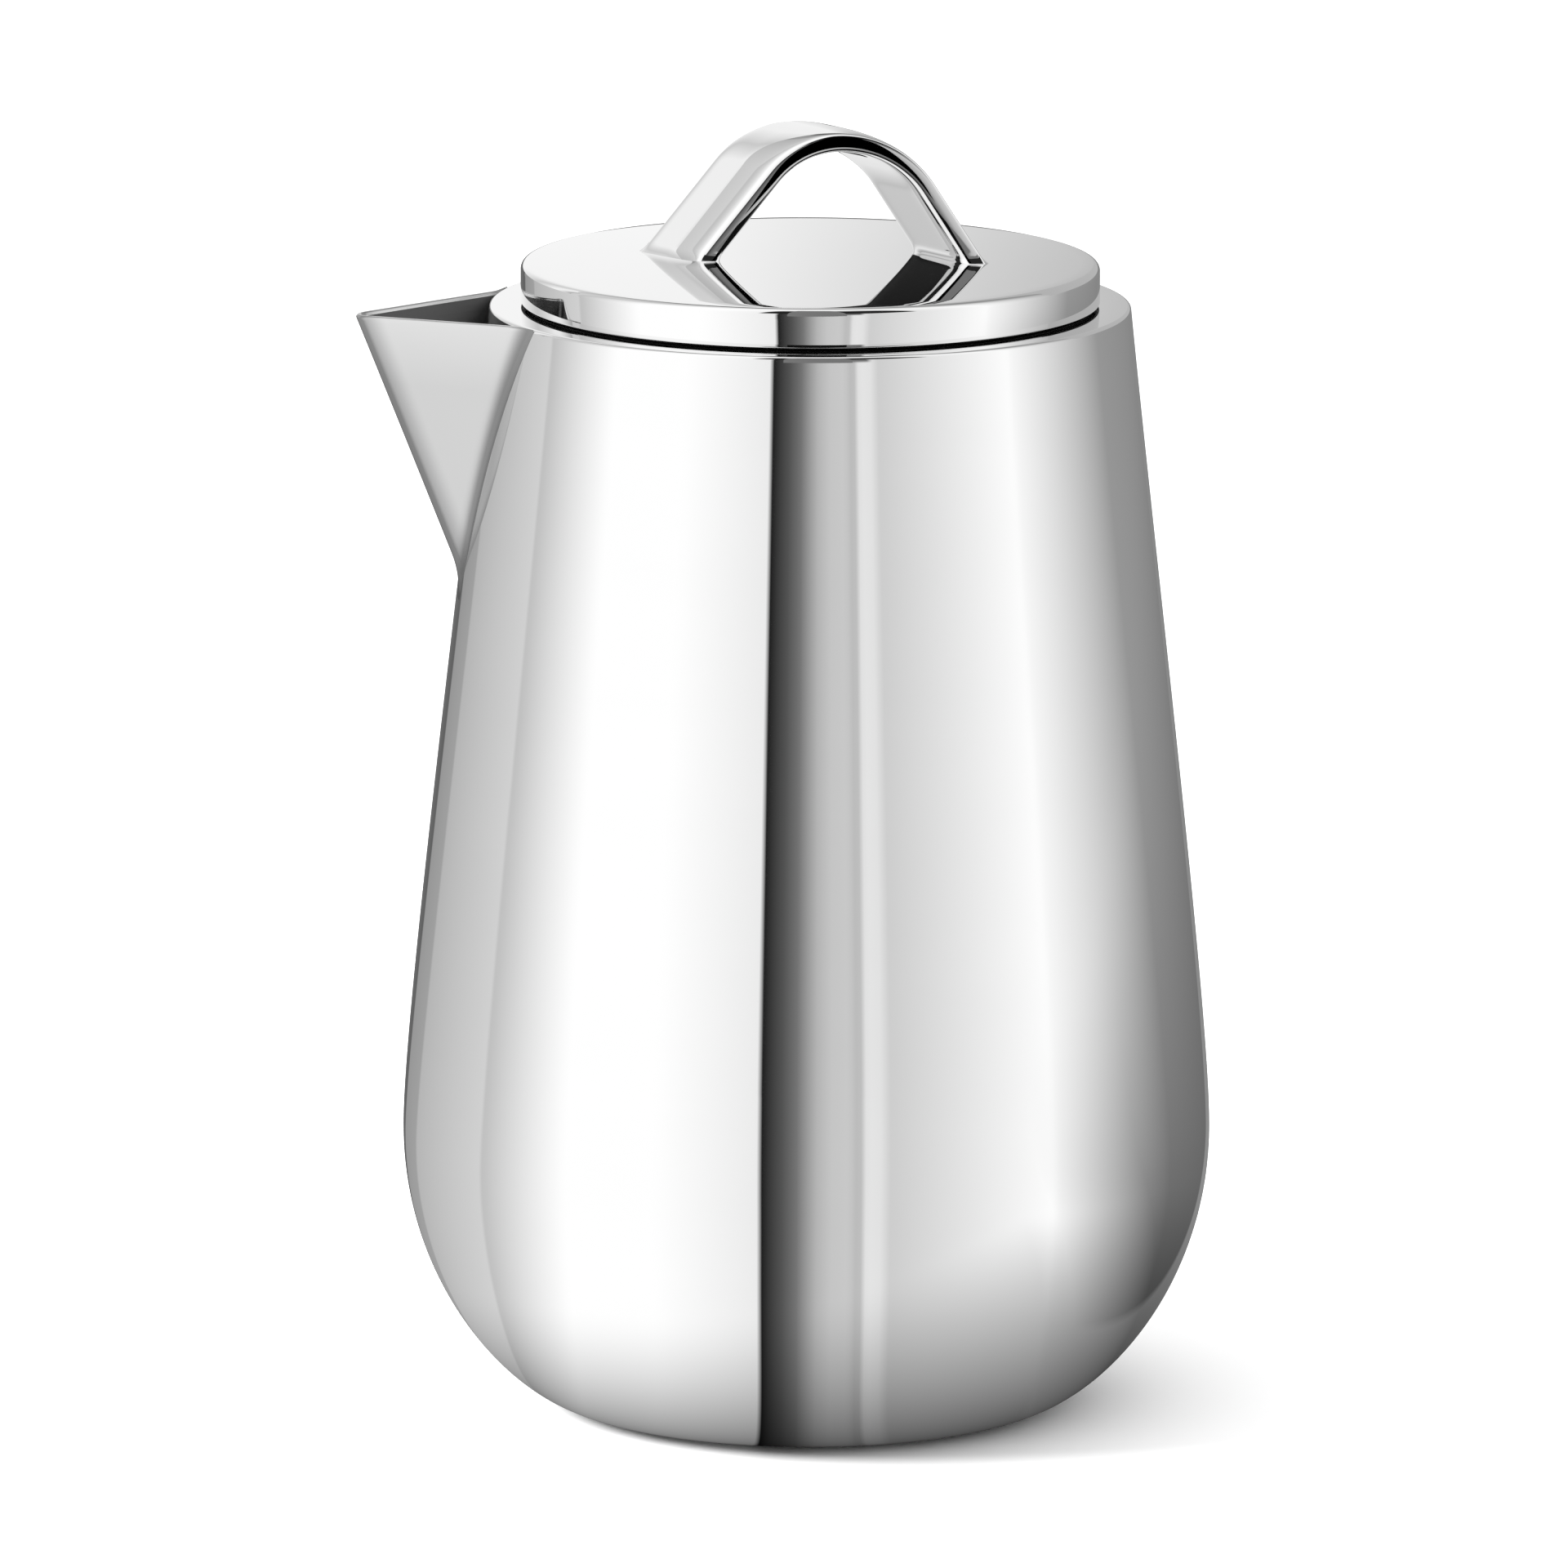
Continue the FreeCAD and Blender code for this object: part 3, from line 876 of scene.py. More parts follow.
class SpoutForm(NodeForm):
    """A folded sheet with a V section that grows out of the pot's wall with a soft fillet.

    The sheet is one grid: across it from one feather edge to the other, and along it up the outside,
    over the lip and down the inside.
    """

    ACROSS = 260
    ALONG = 190
    GRID = {"Size X": 2.0, "Size Y": 1.0, "Vertices X": ACROSS + 1, "Vertices Y": ALONG + 1}
    LIP_START = 0.54
    LIP_END = 0.62
    FACE_MARK = {"data_type": "BOOLEAN", "domain": "FACE"}

    def __init__(self) -> None:
        """Build the tree from the rule for the sheet's radius at each bearing and height."""
        super().__init__("spout_sheet")
        graph = self.graph
        grid = graph.node("GeometryNodeMeshGrid", {}, self.GRID)[0]
        place = graph.point()
        across = place["X"]
        along = place["Y"] + 0.5
        outside = (along / self.LIP_START).bounded()
        inside = ((1 - along) / (1 - self.LIP_END)).bounded()
        over = ((along - self.LIP_START) / (self.LIP_END - self.LIP_START)).bounded()
        climb = (along < self.LIP_START).choose(outside, inside)

        self.half = self.given("Half Angle")
        rake = self.given("Rake Slope")
        rim_height = self.given("Rim Height")
        lip = self.given("Lip Height")
        low = self.given("Lowest Share")
        top = self.given("Highest Share")
        blend = self.given("Fillet")
        apex = self.given("Apex")
        nose = self.given("Nose")
        sheet = self.given("Sheet")
        cover = self.given("Cover")
        drop = self.given("Tip Drop")

        share = low + (top - low) * climb
        body = self._curve("Wall Radius", share)
        height = self._curve("Wall Height", share)
        reach = apex - (rim_height - height) * rake
        half_sine = self.half.sin()
        feather = (reach * half_sine / (body - blend)).arcsin() - self.half
        bearing = across * feather
        turn = abs(bearing)

        skin = self._wedge(reach, nose, turn)
        gap = abs(body - skin)
        fillet = (blend - gap).at_least(0.0)
        outer = body.at_least(skin) + fillet * fillet / (4 * blend)
        pocket = self._wedge(reach - sheet / half_sine, nose - sheet, turn)
        tuck = cover * (1 - across * across) * climb.sqrt()
        inner = pocket.at_least(body - tuck)
        round_over = over * math.pi
        radius = outer + (inner - outer) * (1 - round_over.cos()) / 2
        droop = drop * climb * (radius - body).at_least(0.0) / (apex - body)
        height = height + lip * round_over.sin() - droop
        position = graph.vector(-(radius * bearing.cos()), -(radius * bearing.sin()), height)
        marked = {"Geometry": grid, "Name": "channel", "Value": along > self.LIP_END}
        grid = graph.node("GeometryNodeStoreNamedAttribute", self.FACE_MARK, marked)[0]
        self.close(graph.moved(grid, position), {"channel": "Channel Material"})

    def _curve(self, name: str, share: Wire) -> Wire:
        """One coordinate of a cubic curve whose four poles are inputs.

        Args:
            name: Name of the four inputs, before their number.
            share: Place along the curve.

        Returns:
            The coordinate.
        """
        first, second, third, fourth = (self.given("%s %d" % (name, pole)) for pole in range(1, 5))
        rest = 1 - share
        return (
            first * rest * rest * rest
            + second * rest * rest * share * 3
            + third * rest * share * share * 3
            + fourth * share * share * share
        )

    def _wedge(self, reach: Wire, nose: Wire, turn: Wire) -> Wire:
        """Radius of a V with a round nose.

        Args:
            reach: Distance from the axis to the V's sharp corner.
            nose: Radius of the nose.
            turn: Bearing away from the V's middle.

        Returns:
            Distance from the axis to the V at that bearing.
        """
        side = reach * self.half.sin() / (turn + self.half).sin()
        centre = reach - nose / self.half.sin()
        aside = centre * turn.sin()
        tip = centre * turn.cos() + (nose * nose - aside * aside).at_least(0.0).sqrt()
        touch = nose * self.half.cos() / (centre + nose * self.half.sin())
        on_nose = (turn.sin() / turn.cos()) < touch
        return on_nose.choose(tip, side)


@dataclass
class Spout:
    """Pointed spout at the rim, and the way through the walls behind it."""

    pot: PotForm
    overhang: float = 20.9 * MM
    half: float = math.radians(34.5)
    rake: float = math.radians(21.4)
    nose: float = 3 * MM
    sheet: float = 1 * MM
    fillet: float = 1.8 * MM
    tip_drop: float = 0.6 * MM
    lip_height: float = 0.5 * MM
    cover: float = 0.05 * MM
    duct_margin: float = 2.5 * MM
    duct_nose: float = 2 * MM
    duct_depth: float = 13 * MM
    duct_length: float = 32 * MM
    duct_arm: float = 45 * MM
    channel_finish: Finish = SHADED_CHANNEL_STEEL
    grey: float = 0.585
    roughness: float = 0.16
    seam_lean: float = 0.108

    @property
    def tip(self) -> float:
        """Distance from the axis to the tip at the rim."""
        return self.pot.rim_radius + self.overhang

    @property
    def apex(self) -> float:
        """Distance from the axis to the V's sharp corner at the rim."""
        return self.tip + self.nose * (1 / math.sin(self.half) - 1)

    @property
    def finish(self) -> Finish:
        """Dull steel that follows the fold of this spout.

        Returns:
            The finish.
        """
        return FoldedSteel(
            "steel_dull_spout",
            (self.grey,) * 3,
            self.roughness,
            fold=self.tip,
            top=self.pot.rim_height,
            slope=math.tan(self.rake),
            rim=self.pot.rim_radius,
            lean=self.seam_lean,
        )

    def lowest_share(self) -> float:
        """Find where the nose runs out into the wall.

        Returns:
            Place along the wall's curve.
        """
        poles = self.pot.wall_poles()
        reach = self.tip + self.fillet

        def proud(share: float) -> float:
            """How far the nose stands out of the wall."""
            radius, height = bezier(poles, share)
            return reach - (self.pot.rim_height - height) * math.tan(self.rake) - radius

        return solve(proud, 0.0, 1.0)

    def build(self, form: SpoutForm) -> bpy.types.Object:
        """Make the sheet.

        Args:
            form: The tree that shapes it.

        Returns:
            The spout.
        """
        sizes: dict[str, Any] = {
            "Half Angle": self.half,
            "Rake Slope": math.tan(self.rake),
            "Rim Height": self.pot.rim_height,
            "Lip Height": self.lip_height,
            "Lowest Share": self.lowest_share(),
            "Highest Share": share_at(self.pot.wall_poles(), self.pot.rim_height - self.lip_height),
            "Fillet": self.fillet,
            "Apex": self.apex,
            "Nose": self.nose,
            "Sheet": self.sheet,
            "Cover": self.cover,
            "Tip Drop": self.tip_drop,
            "Material": self.finish.material(),
            "Channel Material": self.channel_finish.material(),
        }
        for number, (radius, height) in enumerate(self.pot.wall_poles(), start=1):
            sizes["Wall Radius %d" % number] = radius
            sizes["Wall Height %d" % number] = height
        return form.bake("spout_sheet", bpy.data.meshes.new("spout_sheet"), sizes)

    def cut_way(self, piece: bpy.types.Object) -> None:
        """Cut the way to the spout through a wall.

        Args:
            piece: The wall.
        """
        mesh = self._way()
        cutter = add_object("way_cutter", mesh)
        cut = piece.modifiers.new("way", "BOOLEAN")
        cut.operation = "DIFFERENCE"
        cut.solver = "EXACT"
        cut.object = cutter
        apply_modifiers(piece)
        piece.data.set_sharp_from_angle(angle=SHARP_ANGLE)
        bpy.data.objects.remove(cutter)
        bpy.data.meshes.remove(mesh)

    def _way(self) -> bpy.types.Mesh:
        """Shape the room that the way takes, a V that widens towards the axis.

        Returns:
            The closed room, which leans with the spout.
        """
        outline = self._way_outline()
        drop = self.duct_depth * math.tan(self.rake)
        lower_drop = drop + self.duct_length * math.tan(self.rake)
        roof = self.pot.rim_height - self.duct_depth
        work = bmesh.new()
        upper = [work.verts.new((-(x - drop), -y, roof)) for x, y in outline]
        lower = [work.verts.new((-(x - lower_drop), -y, roof - self.duct_length)) for x, y in outline]
        work.faces.new(upper)
        work.faces.new(lower)
        for index in range(len(outline)):
            after = (index + 1) % len(outline)
            work.faces.new((upper[index], upper[after], lower[after], lower[index]))
        bmesh.ops.recalc_face_normals(work, faces=work.faces)
        mesh = bpy.data.meshes.new("way_cutter")
        work.to_mesh(mesh)
        work.free()
        return mesh

    def _way_outline(self) -> list[Point]:
        """Draw the way's V at the height of the rim.

        Returns:
            Distance towards the spout and aside of each corner.
        """
        offset = self.sheet + self.duct_margin
        centre = self.apex - (offset + self.duct_nose) / math.sin(self.half)
        nose = [
            (centre + self.duct_nose * math.cos(turn), self.duct_nose * math.sin(turn))
            for turn in self._nose_turns()
        ]
        end_x, end_y = nose[-1]
        far_x, far_y = end_x - self.duct_arm, end_y + self.duct_arm * math.tan(self.half)
        return [(far_x, -far_y), *nose, (far_x, far_y)]

    def _nose_turns(self, steps: int = 10) -> list[float]:
        """Bearings round the nose of the V, from one side to the other."""
        reach = math.pi / 2 - self.half
        return [reach * (2 * step / steps - 1) for step in range(steps + 1)]


@dataclass
class OuterPot:
    """Polished outer wall, rim ring and foot."""

    pot: PotForm
    wall: float = 0.8 * MM
    base_opening: float = 24 * MM
    ring_round: float = 0.6 * MM
    foot_inset: float = 3.5 * MM
    foot_round: float = 0.25 * MM
    finish: Finish = POLISHED

    HEEL_STEPS = 56
    WALL_STEPS = 110
    INNER_HEEL_STEPS = 16
    INNER_WALL_STEPS = 30
    FOOT_SEGMENTS = 128

    def shell(self, form: TurnedForm, spout: Spout) -> bpy.types.Object:
        """Make the outer wall.

        Args:
            form: The tree that turns it.
            spout: The spout, which needs a way through the wall.

        Returns:
            The wall.
        """
        pot = self.pot
        floor = pot.foot_height
        top = pot.ring_bottom
        inner_floor = floor + self.wall
        outer = pot.heel(0.0, floor, self.HEEL_STEPS)[:-1] + pot.wall(0.0, top, self.WALL_STEPS)
        inner = pot.heel(self.wall, inner_floor, self.INNER_HEEL_STEPS)[:-1]
        inner += pot.wall(self.wall, top, self.INNER_WALL_STEPS)
        outline = [(self.base_opening, floor), *outer, *reversed(inner), (self.base_opening, inner_floor)]
        piece = form.turn("pot_shell", outline, True, self.finish)
        spout.cut_way(piece)
        return piece

    def ring(self, form: TurnedForm) -> bpy.types.Object:
        """Make the flat ring with its rounded outer edge.

        Args:
            form: The tree that turns it.

        Returns:
            The ring.
        """
        pot = self.pot
        edge = pot.wall(0.0, pot.ring_bottom, 1)[-1]
        outline = rounded(
            [
                (pot.neck_outer, pot.ring_bottom, 0.0),
                (*edge, 0.0),
                (pot.rim_radius, pot.rim_height, self.ring_round),
                (pot.neck_outer, pot.rim_height, 0.0),
            ],
            closed=True,
            steps=EDGE_STEPS,
        )
        return form.turn("rim_flange", outline, True, self.finish)

    def foot(self, form: TurnedForm) -> bpy.types.Object:
        """Make the soft disc that the pot stands on.

        Args:
            form: The tree that turns it.

        Returns:
            The disc.
        """
        radius = self.pot.heel_radius - self.foot_inset
        top = self.pot.foot_height
        outline = rounded(
            [(0.0, 0.0, 0.0), (radius, 0.0, self.foot_round), (radius, top, 0.0), (0.0, top, 0.0)],
            closed=False,
        )
        return form.turn("foot_disc", outline, False, GREY_SILICONE, self.FOOT_SEGMENTS)


@dataclass
class Liner:
    """Inner vessel: a body with a neck, and a drawn floor."""

    pot: PotForm
    inset: float = 6.8 * MM
    floor: float = 8.8 * MM
    seam: float = 24 * MM
    neck_depth: float = 10 * MM
    shoulder: float = math.radians(45)
    mouth_round: float = 0.3 * MM
    neck_round: float = 2.5 * MM
    finish: Finish = SATIN

    HEEL_STEPS = 14
    WALL_STEPS = 60
    FLOOR_STEPS = 30

    def _shoulder_end(self, inset: float, neck: float, top: float) -> float:
        """Height where the shoulder meets the wall.

        Args:
            inset: How far the wall is moved in.
            neck: Radius of the neck.
            top: Height where the shoulder leaves the neck.

        Returns:
            The height.
        """
        poles = self.pot.wall_poles(inset)

        def above(share: float) -> float:
            """How far the wall is above the shoulder."""
            radius, height = bezier(poles, share)
            return height - (top - (radius - neck) * math.tan(self.shoulder))

        return bezier(poles, solve(above, 0.0, 1.0))[1]

    def body(self, form: TurnedForm, spout: Spout) -> bpy.types.Object:
        """Make the body from the seam up to the rim.

        Args:
            form: The tree that turns it.
            spout: The spout, which needs a way through the wall.

        Returns:
            The body.
        """
        pot = self.pot
        wall = pot.liner_wall
        top = pot.rim_height - self.neck_depth
        rise = wall * math.tan(self.shoulder / 2)
        outer = self._side(self.inset, self.floor, pot.neck_outer, top + rise)
        inner = self._side(self.inset + wall, self.floor + wall, pot.neck_radius, top)
        corners = [
            *sharp(outer),
            (pot.neck_outer, top + rise, self.neck_round),
            (pot.neck_outer, pot.rim_height, 0.0),
            (pot.neck_radius, pot.rim_height, self.mouth_round),
            (pot.neck_radius, top, self.neck_round),
            *sharp(inner[::-1]),
        ]
        piece = form.turn("liner_vessel", rounded(corners, closed=True), True, self.finish)
        spout.cut_way(piece)
        return piece

    def _side(self, inset: float, floor: float, neck: float, top: float) -> list[Point]:
        """Points of one side of the body's wall, from the seam up to the shoulder's end.

        Args:
            inset: How far the wall is moved in.
            floor: Height where its heel would start.
            neck: Radius of the neck.
            top: Height where the shoulder leaves the neck.

        Returns:
            The points.
        """
        poles = self.pot.heel_poles(inset, floor)
        heel = stretch(poles, share_at(poles, self.seam), 1.0, self.HEEL_STEPS)[:-1]
        return heel + self.pot.wall(inset, self._shoulder_end(inset, neck, top), self.WALL_STEPS)

    def base(self, form: TurnedForm) -> bpy.types.Object:
        """Make the drawn floor.

        Args:
            form: The tree that turns it.

        Returns:
            The floor.
        """
        wall = self.pot.liner_wall
        outer = self.pot.heel(self.inset, self.floor, self.FLOOR_STEPS, self.seam)
        inner = self.pot.heel(self.inset + wall, self.floor + wall, self.FLOOR_STEPS, self.seam)
        outline = [(0.0, self.floor)] + outer + inner[::-1] + [(0.0, self.floor + wall)]
        return form.turn("liner_floor", outline, False, self.finish)


@dataclass
class LidForm:
    """Sizes that the lid's pieces share."""

    pot: PotForm
    overlap: float = 3.7 * MM
    height: float = 6.5 * MM
    dome: float = 1.2 * MM
    wall: float = 0.8 * MM
    gap: float = 1.1 * MM
    gasket_wall: float = 1 * MM
    pan_depth: float = 8 * MM
    pan_bead_height: float = 1.2 * MM

    @property
    def radius(self) -> float:
        """Outer radius of the lid."""
        return self.pot.neck_radius + self.overlap

    @property
    def edge(self) -> float:
        """Height where the dome would meet the side."""
        return self.pot.rim_height + self.height

    @property
    def lower(self) -> float:
        """Height of the side's lower edge."""
        return self.pot.rim_height + self.gap

    @property
    def sphere(self) -> float:
        """Radius of the sphere that the dome is part of."""
        return (self.radius ** 2 + self.dome ** 2) / (2 * self.dome)

    @property
    def sphere_centre(self) -> float:
        """Height of that sphere's middle."""
        return self.edge + self.dome - self.sphere

    @property
    def pan_bottom(self) -> float:
        """Height of the pan's lower face."""
        return self.pot.rim_height - self.pan_depth

    def dome_height(self, radius: float) -> float:
        """Height of the lid's top at a distance from the axis."""
        return self.sphere_centre + math.sqrt(self.sphere ** 2 - radius ** 2)


class LoopForm(NodeForm):
    """A flat bar bent along a path in the XZ plane, sheared askew, with its feet cut to the dome.

    The bar's section is a squared oval with bulging narrow faces, thinner towards the front.
    """

    SECTION_POINTS = 96

    def __init__(self) -> None:
        """Build the tree: sweep the bar's section along the path, then slide the feet to the lid."""
        super().__init__("lid_loop")
        graph = self.graph
        self.depth = self.given("Depth")
        self.sphere = self.given("Dome Radius")
        self.centre = self.given("Dome Centre")
        path = graph.node("GeometryNodeMeshToCurve", {}, {0: self.entry["Geometry"]})[0]
        swept = {"Curve": path, "Profile Curve": self._section(), "Fill Caps": True}
        bar = self._flared(self._seated(graph.node("GeometryNodeCurveToMesh", {}, swept)[0]))
        spin = {"Geometry": bar, "Rotation": graph.vector(0.0, 0.0, self.given("Turn"))}
        self.close(graph.node("GeometryNodeTransform", {}, spin)[0])

    def _section(self) -> Wire:
        """Shape the bar's section.

        Returns:
            The section, with its depth along X and its thickness along Y.
        """
        graph = self.graph
        bar = self.given("Bar")
        squareness = self.given("Squareness")
        bulge = self.given("Bulge")
        taper = self.given("Taper")
        ring = {"Resolution": self.SECTION_POINTS, "Radius": 1.0}
        circle = graph.node("GeometryNodeCurvePrimitiveCircle", {}, ring)[0]
        place = graph.point()
        swell = (abs(place["X"]) ** squareness + abs(place["Y"]) ** squareness) ** (-1 / squareness)
        wide = place["X"] * swell
        high = place["Y"] * swell
        front = wide.at_least(0.0)
        thick = high * bar / 2 + taper * front * front * (1 - high) / 2
        broad = wide * (1 - bulge * high * high) * self.depth / 2
        return graph.moved(circle, graph.vector(broad, thick, 0.0))

    def _dome(self, x: Wire, y: Wire) -> Wire:
        """How far the dome stands above its middle at a place."""
        return (self.sphere * self.sphere - x * x - y * y).sqrt()

    def _seated(self, bar: Wire) -> Wire:
        """Set the bar askew and cut its feet to the dome.

        Args:
            bar: The straight bar.

        Returns:
            The seated bar.
        """
        graph = self.graph
        place = graph.point()
        y = place["Y"]
        x = place["X"] - self.given("Skew") * y / self.depth
        lift = (self.centre + self._dome(x, y) - place["Z"]).at_least(0.0)
        run = (place["X"] < 0.0).choose(self.given("Shallow Run"), -self.given("Steep Run"))
        return graph.moved(bar, graph.vector(x + lift * run, y, place["Z"] + lift))

    def _flared(self, bar: Wire) -> Wire:
        """Widen the bar a little where its feet meet the dome.

        Args:
            bar: The seated bar.

        Returns:
            The flared bar.
        """
        graph = self.graph
        flare = self.given("Flare")
        place = graph.point()
        height = place["Z"] - self.centre - self._dome(place["X"], place["Y"])
        near = (flare - height).at_least(0.0)
        amount = near * near / (2 * flare)
        normal = graph.parts(graph.node("GeometryNodeInputNormal")[0])
        offset = graph.vector(normal["X"] * amount, normal["Y"] * amount, 0.0)
        return graph.node("GeometryNodeSetPosition", {}, {"Geometry": bar, "Offset": offset})[0]


@dataclass
class Lid:
    """Domed cap, pan below it and the loop on top."""

    form: LidForm
    edge_round: float = 1.1 * MM
    lower_round: float = 0.3 * MM
    skirt: float = 0.65 * MM
    pan_wall: float = 0.8 * MM
    pan_bead: float = 0.5 * MM
    pan_round: float = 0.35 * MM
    shallow_radius: float = 15.6 * MM
    steep_radius: float = 17.5 * MM
    loop_rise: float = 21.3 * MM
    loop_bar: float = 3.5 * MM
    loop_depth: float = 11.1 * MM
    loop_skew: float = 7.9 * MM
    loop_shift: float = 0.7 * MM
    loop_steep: float = math.radians(57.2)
    loop_shallow: float = math.radians(52)
    loop_turn: float = math.radians(-6.5)
    loop_squareness: float = 8.0
    loop_bulge: float = 0.02
    loop_taper: float = 0.55 * MM
    loop_sink: float = 0.3 * MM
    loop_flare: float = 1.5 * MM
    finish: Finish = POLISHED

    DOME_STEPS = 24

    def cap(self, form: TurnedForm) -> bpy.types.Object:
        """Make the domed cap with its short side.

        Args:
            form: The tree that turns it.

        Returns:
            The cap.
        """
        lid = self.form
        corner = lid.radius - self.edge_round
        radii = [corner * step / self.DOME_STEPS for step in range(self.DOME_STEPS)]
        inner_radius = lid.radius - lid.wall
        inner_top = lid.dome_height(inner_radius) - lid.wall
        corners = [
            *((radius, lid.dome_height(radius), 0.0) for radius in radii),
            (lid.radius, lid.edge, self.edge_round),
            (lid.radius, lid.lower - self.skirt, self.lower_round),
            (inner_radius, lid.lower - self.skirt, 0.0),
            (inner_radius, inner_top, 0.0),
            (0.0, lid.dome_height(0.0) - lid.wall, 0.0),
        ]
        return form.turn("lid_top", rounded(corners, closed=False, steps=EDGE_STEPS), False, self.finish)

    def pan(self, form: TurnedForm) -> bpy.types.Object:
        """Make the pan that reaches into the neck.

        Args:
            form: The tree that turns it.

        Returns:
            The pan.
        """
        lid = self.form
        radius = lid.pot.neck_radius - lid.gasket_wall
        bottom = lid.pan_bottom
        bead = radius + self.pan_bead
        bead_top = bottom + lid.pan_bead_height
        bore = lid.radius - lid.wall
        top = lid.lower + self.pan_wall
        corners = [
            (0.0, bottom, 0.0),
            (bead, bottom, self.pan_round),
            (bead, bead_top, self.pan_round / 2),
            (radius, bead_top, 0.0),
            (radius, lid.lower, 0.0),
            (bore, lid.lower, 0.0),
            (bore, top, 0.0),
            (radius - self.pan_wall, top, 0.0),
            (radius - self.pan_wall, bottom + self.pan_wall, 0.0),
            (0.0, bottom + self.pan_wall, 0.0),
        ]
        return form.turn("lid_tray", rounded(corners, closed=False), False, SATIN)

    def _leg_foot(self, radius: float, slope: float) -> float:
        """How far from the arch's middle a leg's outer face meets the lid's edge height."""
        arc_height = self.loop_rise - radius + radius * math.cos(slope)
        return radius * math.sin(slope) + arc_height / math.tan(slope)

    def loop_path(self, steps: int = 72) -> list[Point]:
        """Middle line of the bar, from the shallow leg over the crown to the steep leg.

        Args:
            steps: Straight pieces in the crown.

        Returns:
            Place along the span and height of the path's points.
        """
        shallow_foot = self._leg_foot(self.shallow_radius, self.loop_shallow)
        steep_foot = self._leg_foot(self.steep_radius, self.loop_steep)
        middle = (shallow_foot - steep_foot) / 2 + self.loop_shift
        top = self.form.edge + self.loop_rise - self.loop_bar / 2
        crown = []
        for step in range(steps + 1):
            turn = -self.loop_shallow + (self.loop_shallow + self.loop_steep) * step / steps
            radius = (self.shallow_radius if turn < 0 else self.steep_radius) - self.loop_bar / 2
            crown.append((middle + radius * math.sin(turn), top - radius * (1 - math.cos(turn))))
        reach = self.loop_rise + self.loop_bar
        shallow = self._leg(crown[0], -math.cos(self.loop_shallow), math.sin(self.loop_shallow), reach)
        steep = self._leg(crown[-1], math.cos(self.loop_steep), math.sin(self.loop_steep), reach)
        return shallow[::-1] + crown + steep

    @staticmethod
    def _leg(top: Point, run: float, fall: float, length: float, steps: int = 44) -> list[Point]:
        """Points down a straight leg that leaves the crown, by its run and fall for each length."""
        lengths = [length * step / steps for step in range(1, steps + 1)]
        return [(top[0] + run * far, top[1] - fall * far) for far in lengths]

    def loop(self, form: LoopForm) -> bpy.types.Object:
        """Make the loop.

        Args:
            form: The tree that sweeps it.

        Returns:
            The loop.
        """
        sizes = {
            "Depth": self.loop_depth,
            "Bar": self.loop_bar,
            "Squareness": self.loop_squareness,
            "Bulge": self.loop_bulge,
            "Taper": self.loop_taper,
            "Skew": self.loop_skew,
            "Flare": self.loop_flare,
            "Turn": self.loop_turn,
            "Dome Radius": self.form.sphere,
            "Dome Centre": self.form.sphere_centre - self.loop_sink,
            "Shallow Run": 1 / math.tan(self.loop_shallow),
            "Steep Run": 1 / math.tan(self.loop_steep),
            "Material": self.finish.material(),
        }
        return form.bake("lid_loop", line_mesh("lid_loop", self.loop_path(), closed=False), sizes)


@dataclass
class Gasket:
    """Soft ring between the lid and the rim, with a ribbed sleeve in the neck."""

    form: LidForm
    slack: float = 0.06 * MM
    inset: float = 1 * MM
    rib: float = 0.35 * MM
    rib_height: float = 1.4 * MM
    rib_count: int = 2
    rib_round: float = 0.12 * MM

    def build(self, form: TurnedForm) -> bpy.types.Object:
        """Make the gasket.

        Args:
            form: The tree that turns it.

        Returns:
            The gasket.
        """
        lid = self.form
        rim = lid.pot.rim_height
        inner = lid.pot.neck_radius - lid.gasket_wall + self.slack
        outer = lid.pot.neck_radius - self.slack
        groove = outer - self.rib
        bottom = lid.pan_bottom + lid.pan_bead_height + self.slack
        flange_bottom = rim + self.slack
        flange_top = lid.lower - self.slack
        edge = lid.radius - self.inset
        pitch = (rim - bottom) / self.rib_count
        corners = [(inner, flange_top, 0.0), (inner, bottom, 0.0)]
        for number in range(self.rib_count):
            foot = bottom + number * pitch
            last = number == self.rib_count - 1
            corners += [
                (outer, foot, self.rib_round),
                (outer, foot + self.rib_height, self.rib_round),
                (groove, foot + self.rib_height + self.rib, self.rib_round),
                (groove, flange_bottom if last else foot + pitch, self.rib_round),
            ]
        corners += [(edge, flange_bottom, self.rib_round), (edge, flange_top, self.rib_round)]
        return form.turn("lid_gasket", rounded(corners, closed=True), True, BLACK_SILICONE)


@dataclass(frozen=True)
class Card:
    """A stretch of the studio's surround, as seen from the pot.

    Attributes:
        start: Bearing of its left edge, in degrees to the right of the camera.
        end: Bearing of its right edge.
        start_light: Brightness at its left edge.
        end_light: Brightness at its right edge.
    """

    start: float
    end: float
    start_light: float
    end_light: float


@dataclass(frozen=True)
class DarkArea:
    """A dark area of the studio's surround, with soft edges. Angles are in degrees.

    Attributes:
        left: Bearing of its left edge, to the right of the camera.
        right: Bearing of its right edge.
        bottom: Height of its lower edge above the horizon.
        top: Height of its upper edge above the horizon.
        light: The most light that it shows.
        slant: How far the lower edge rises for each degree to the right.
        edge: Width of its soft edges.
    """

    left: float
    right: float
    bottom: float
    top: float
    light: float
    slant: float = 0.0
    edge: float = 2.0

    def mask(self, bearing: Wire, height: Wire) -> Wire:
        """One inside the area and zero outside it.

        Args:
            bearing: Bearing in radians to the right of the camera.
            height: Height above the horizon in radians.

        Returns:
            The mask.
        """
        inside = (
            bearing - math.radians(self.left),
            math.radians(self.right) - bearing,
            height - math.radians(self.bottom) - self.slant * bearing,
            math.radians(self.top) - height,
        )
        left, right, bottom, top = ((depth / math.radians(self.edge)).bounded() for depth in inside)
        return left * right * bottom * top


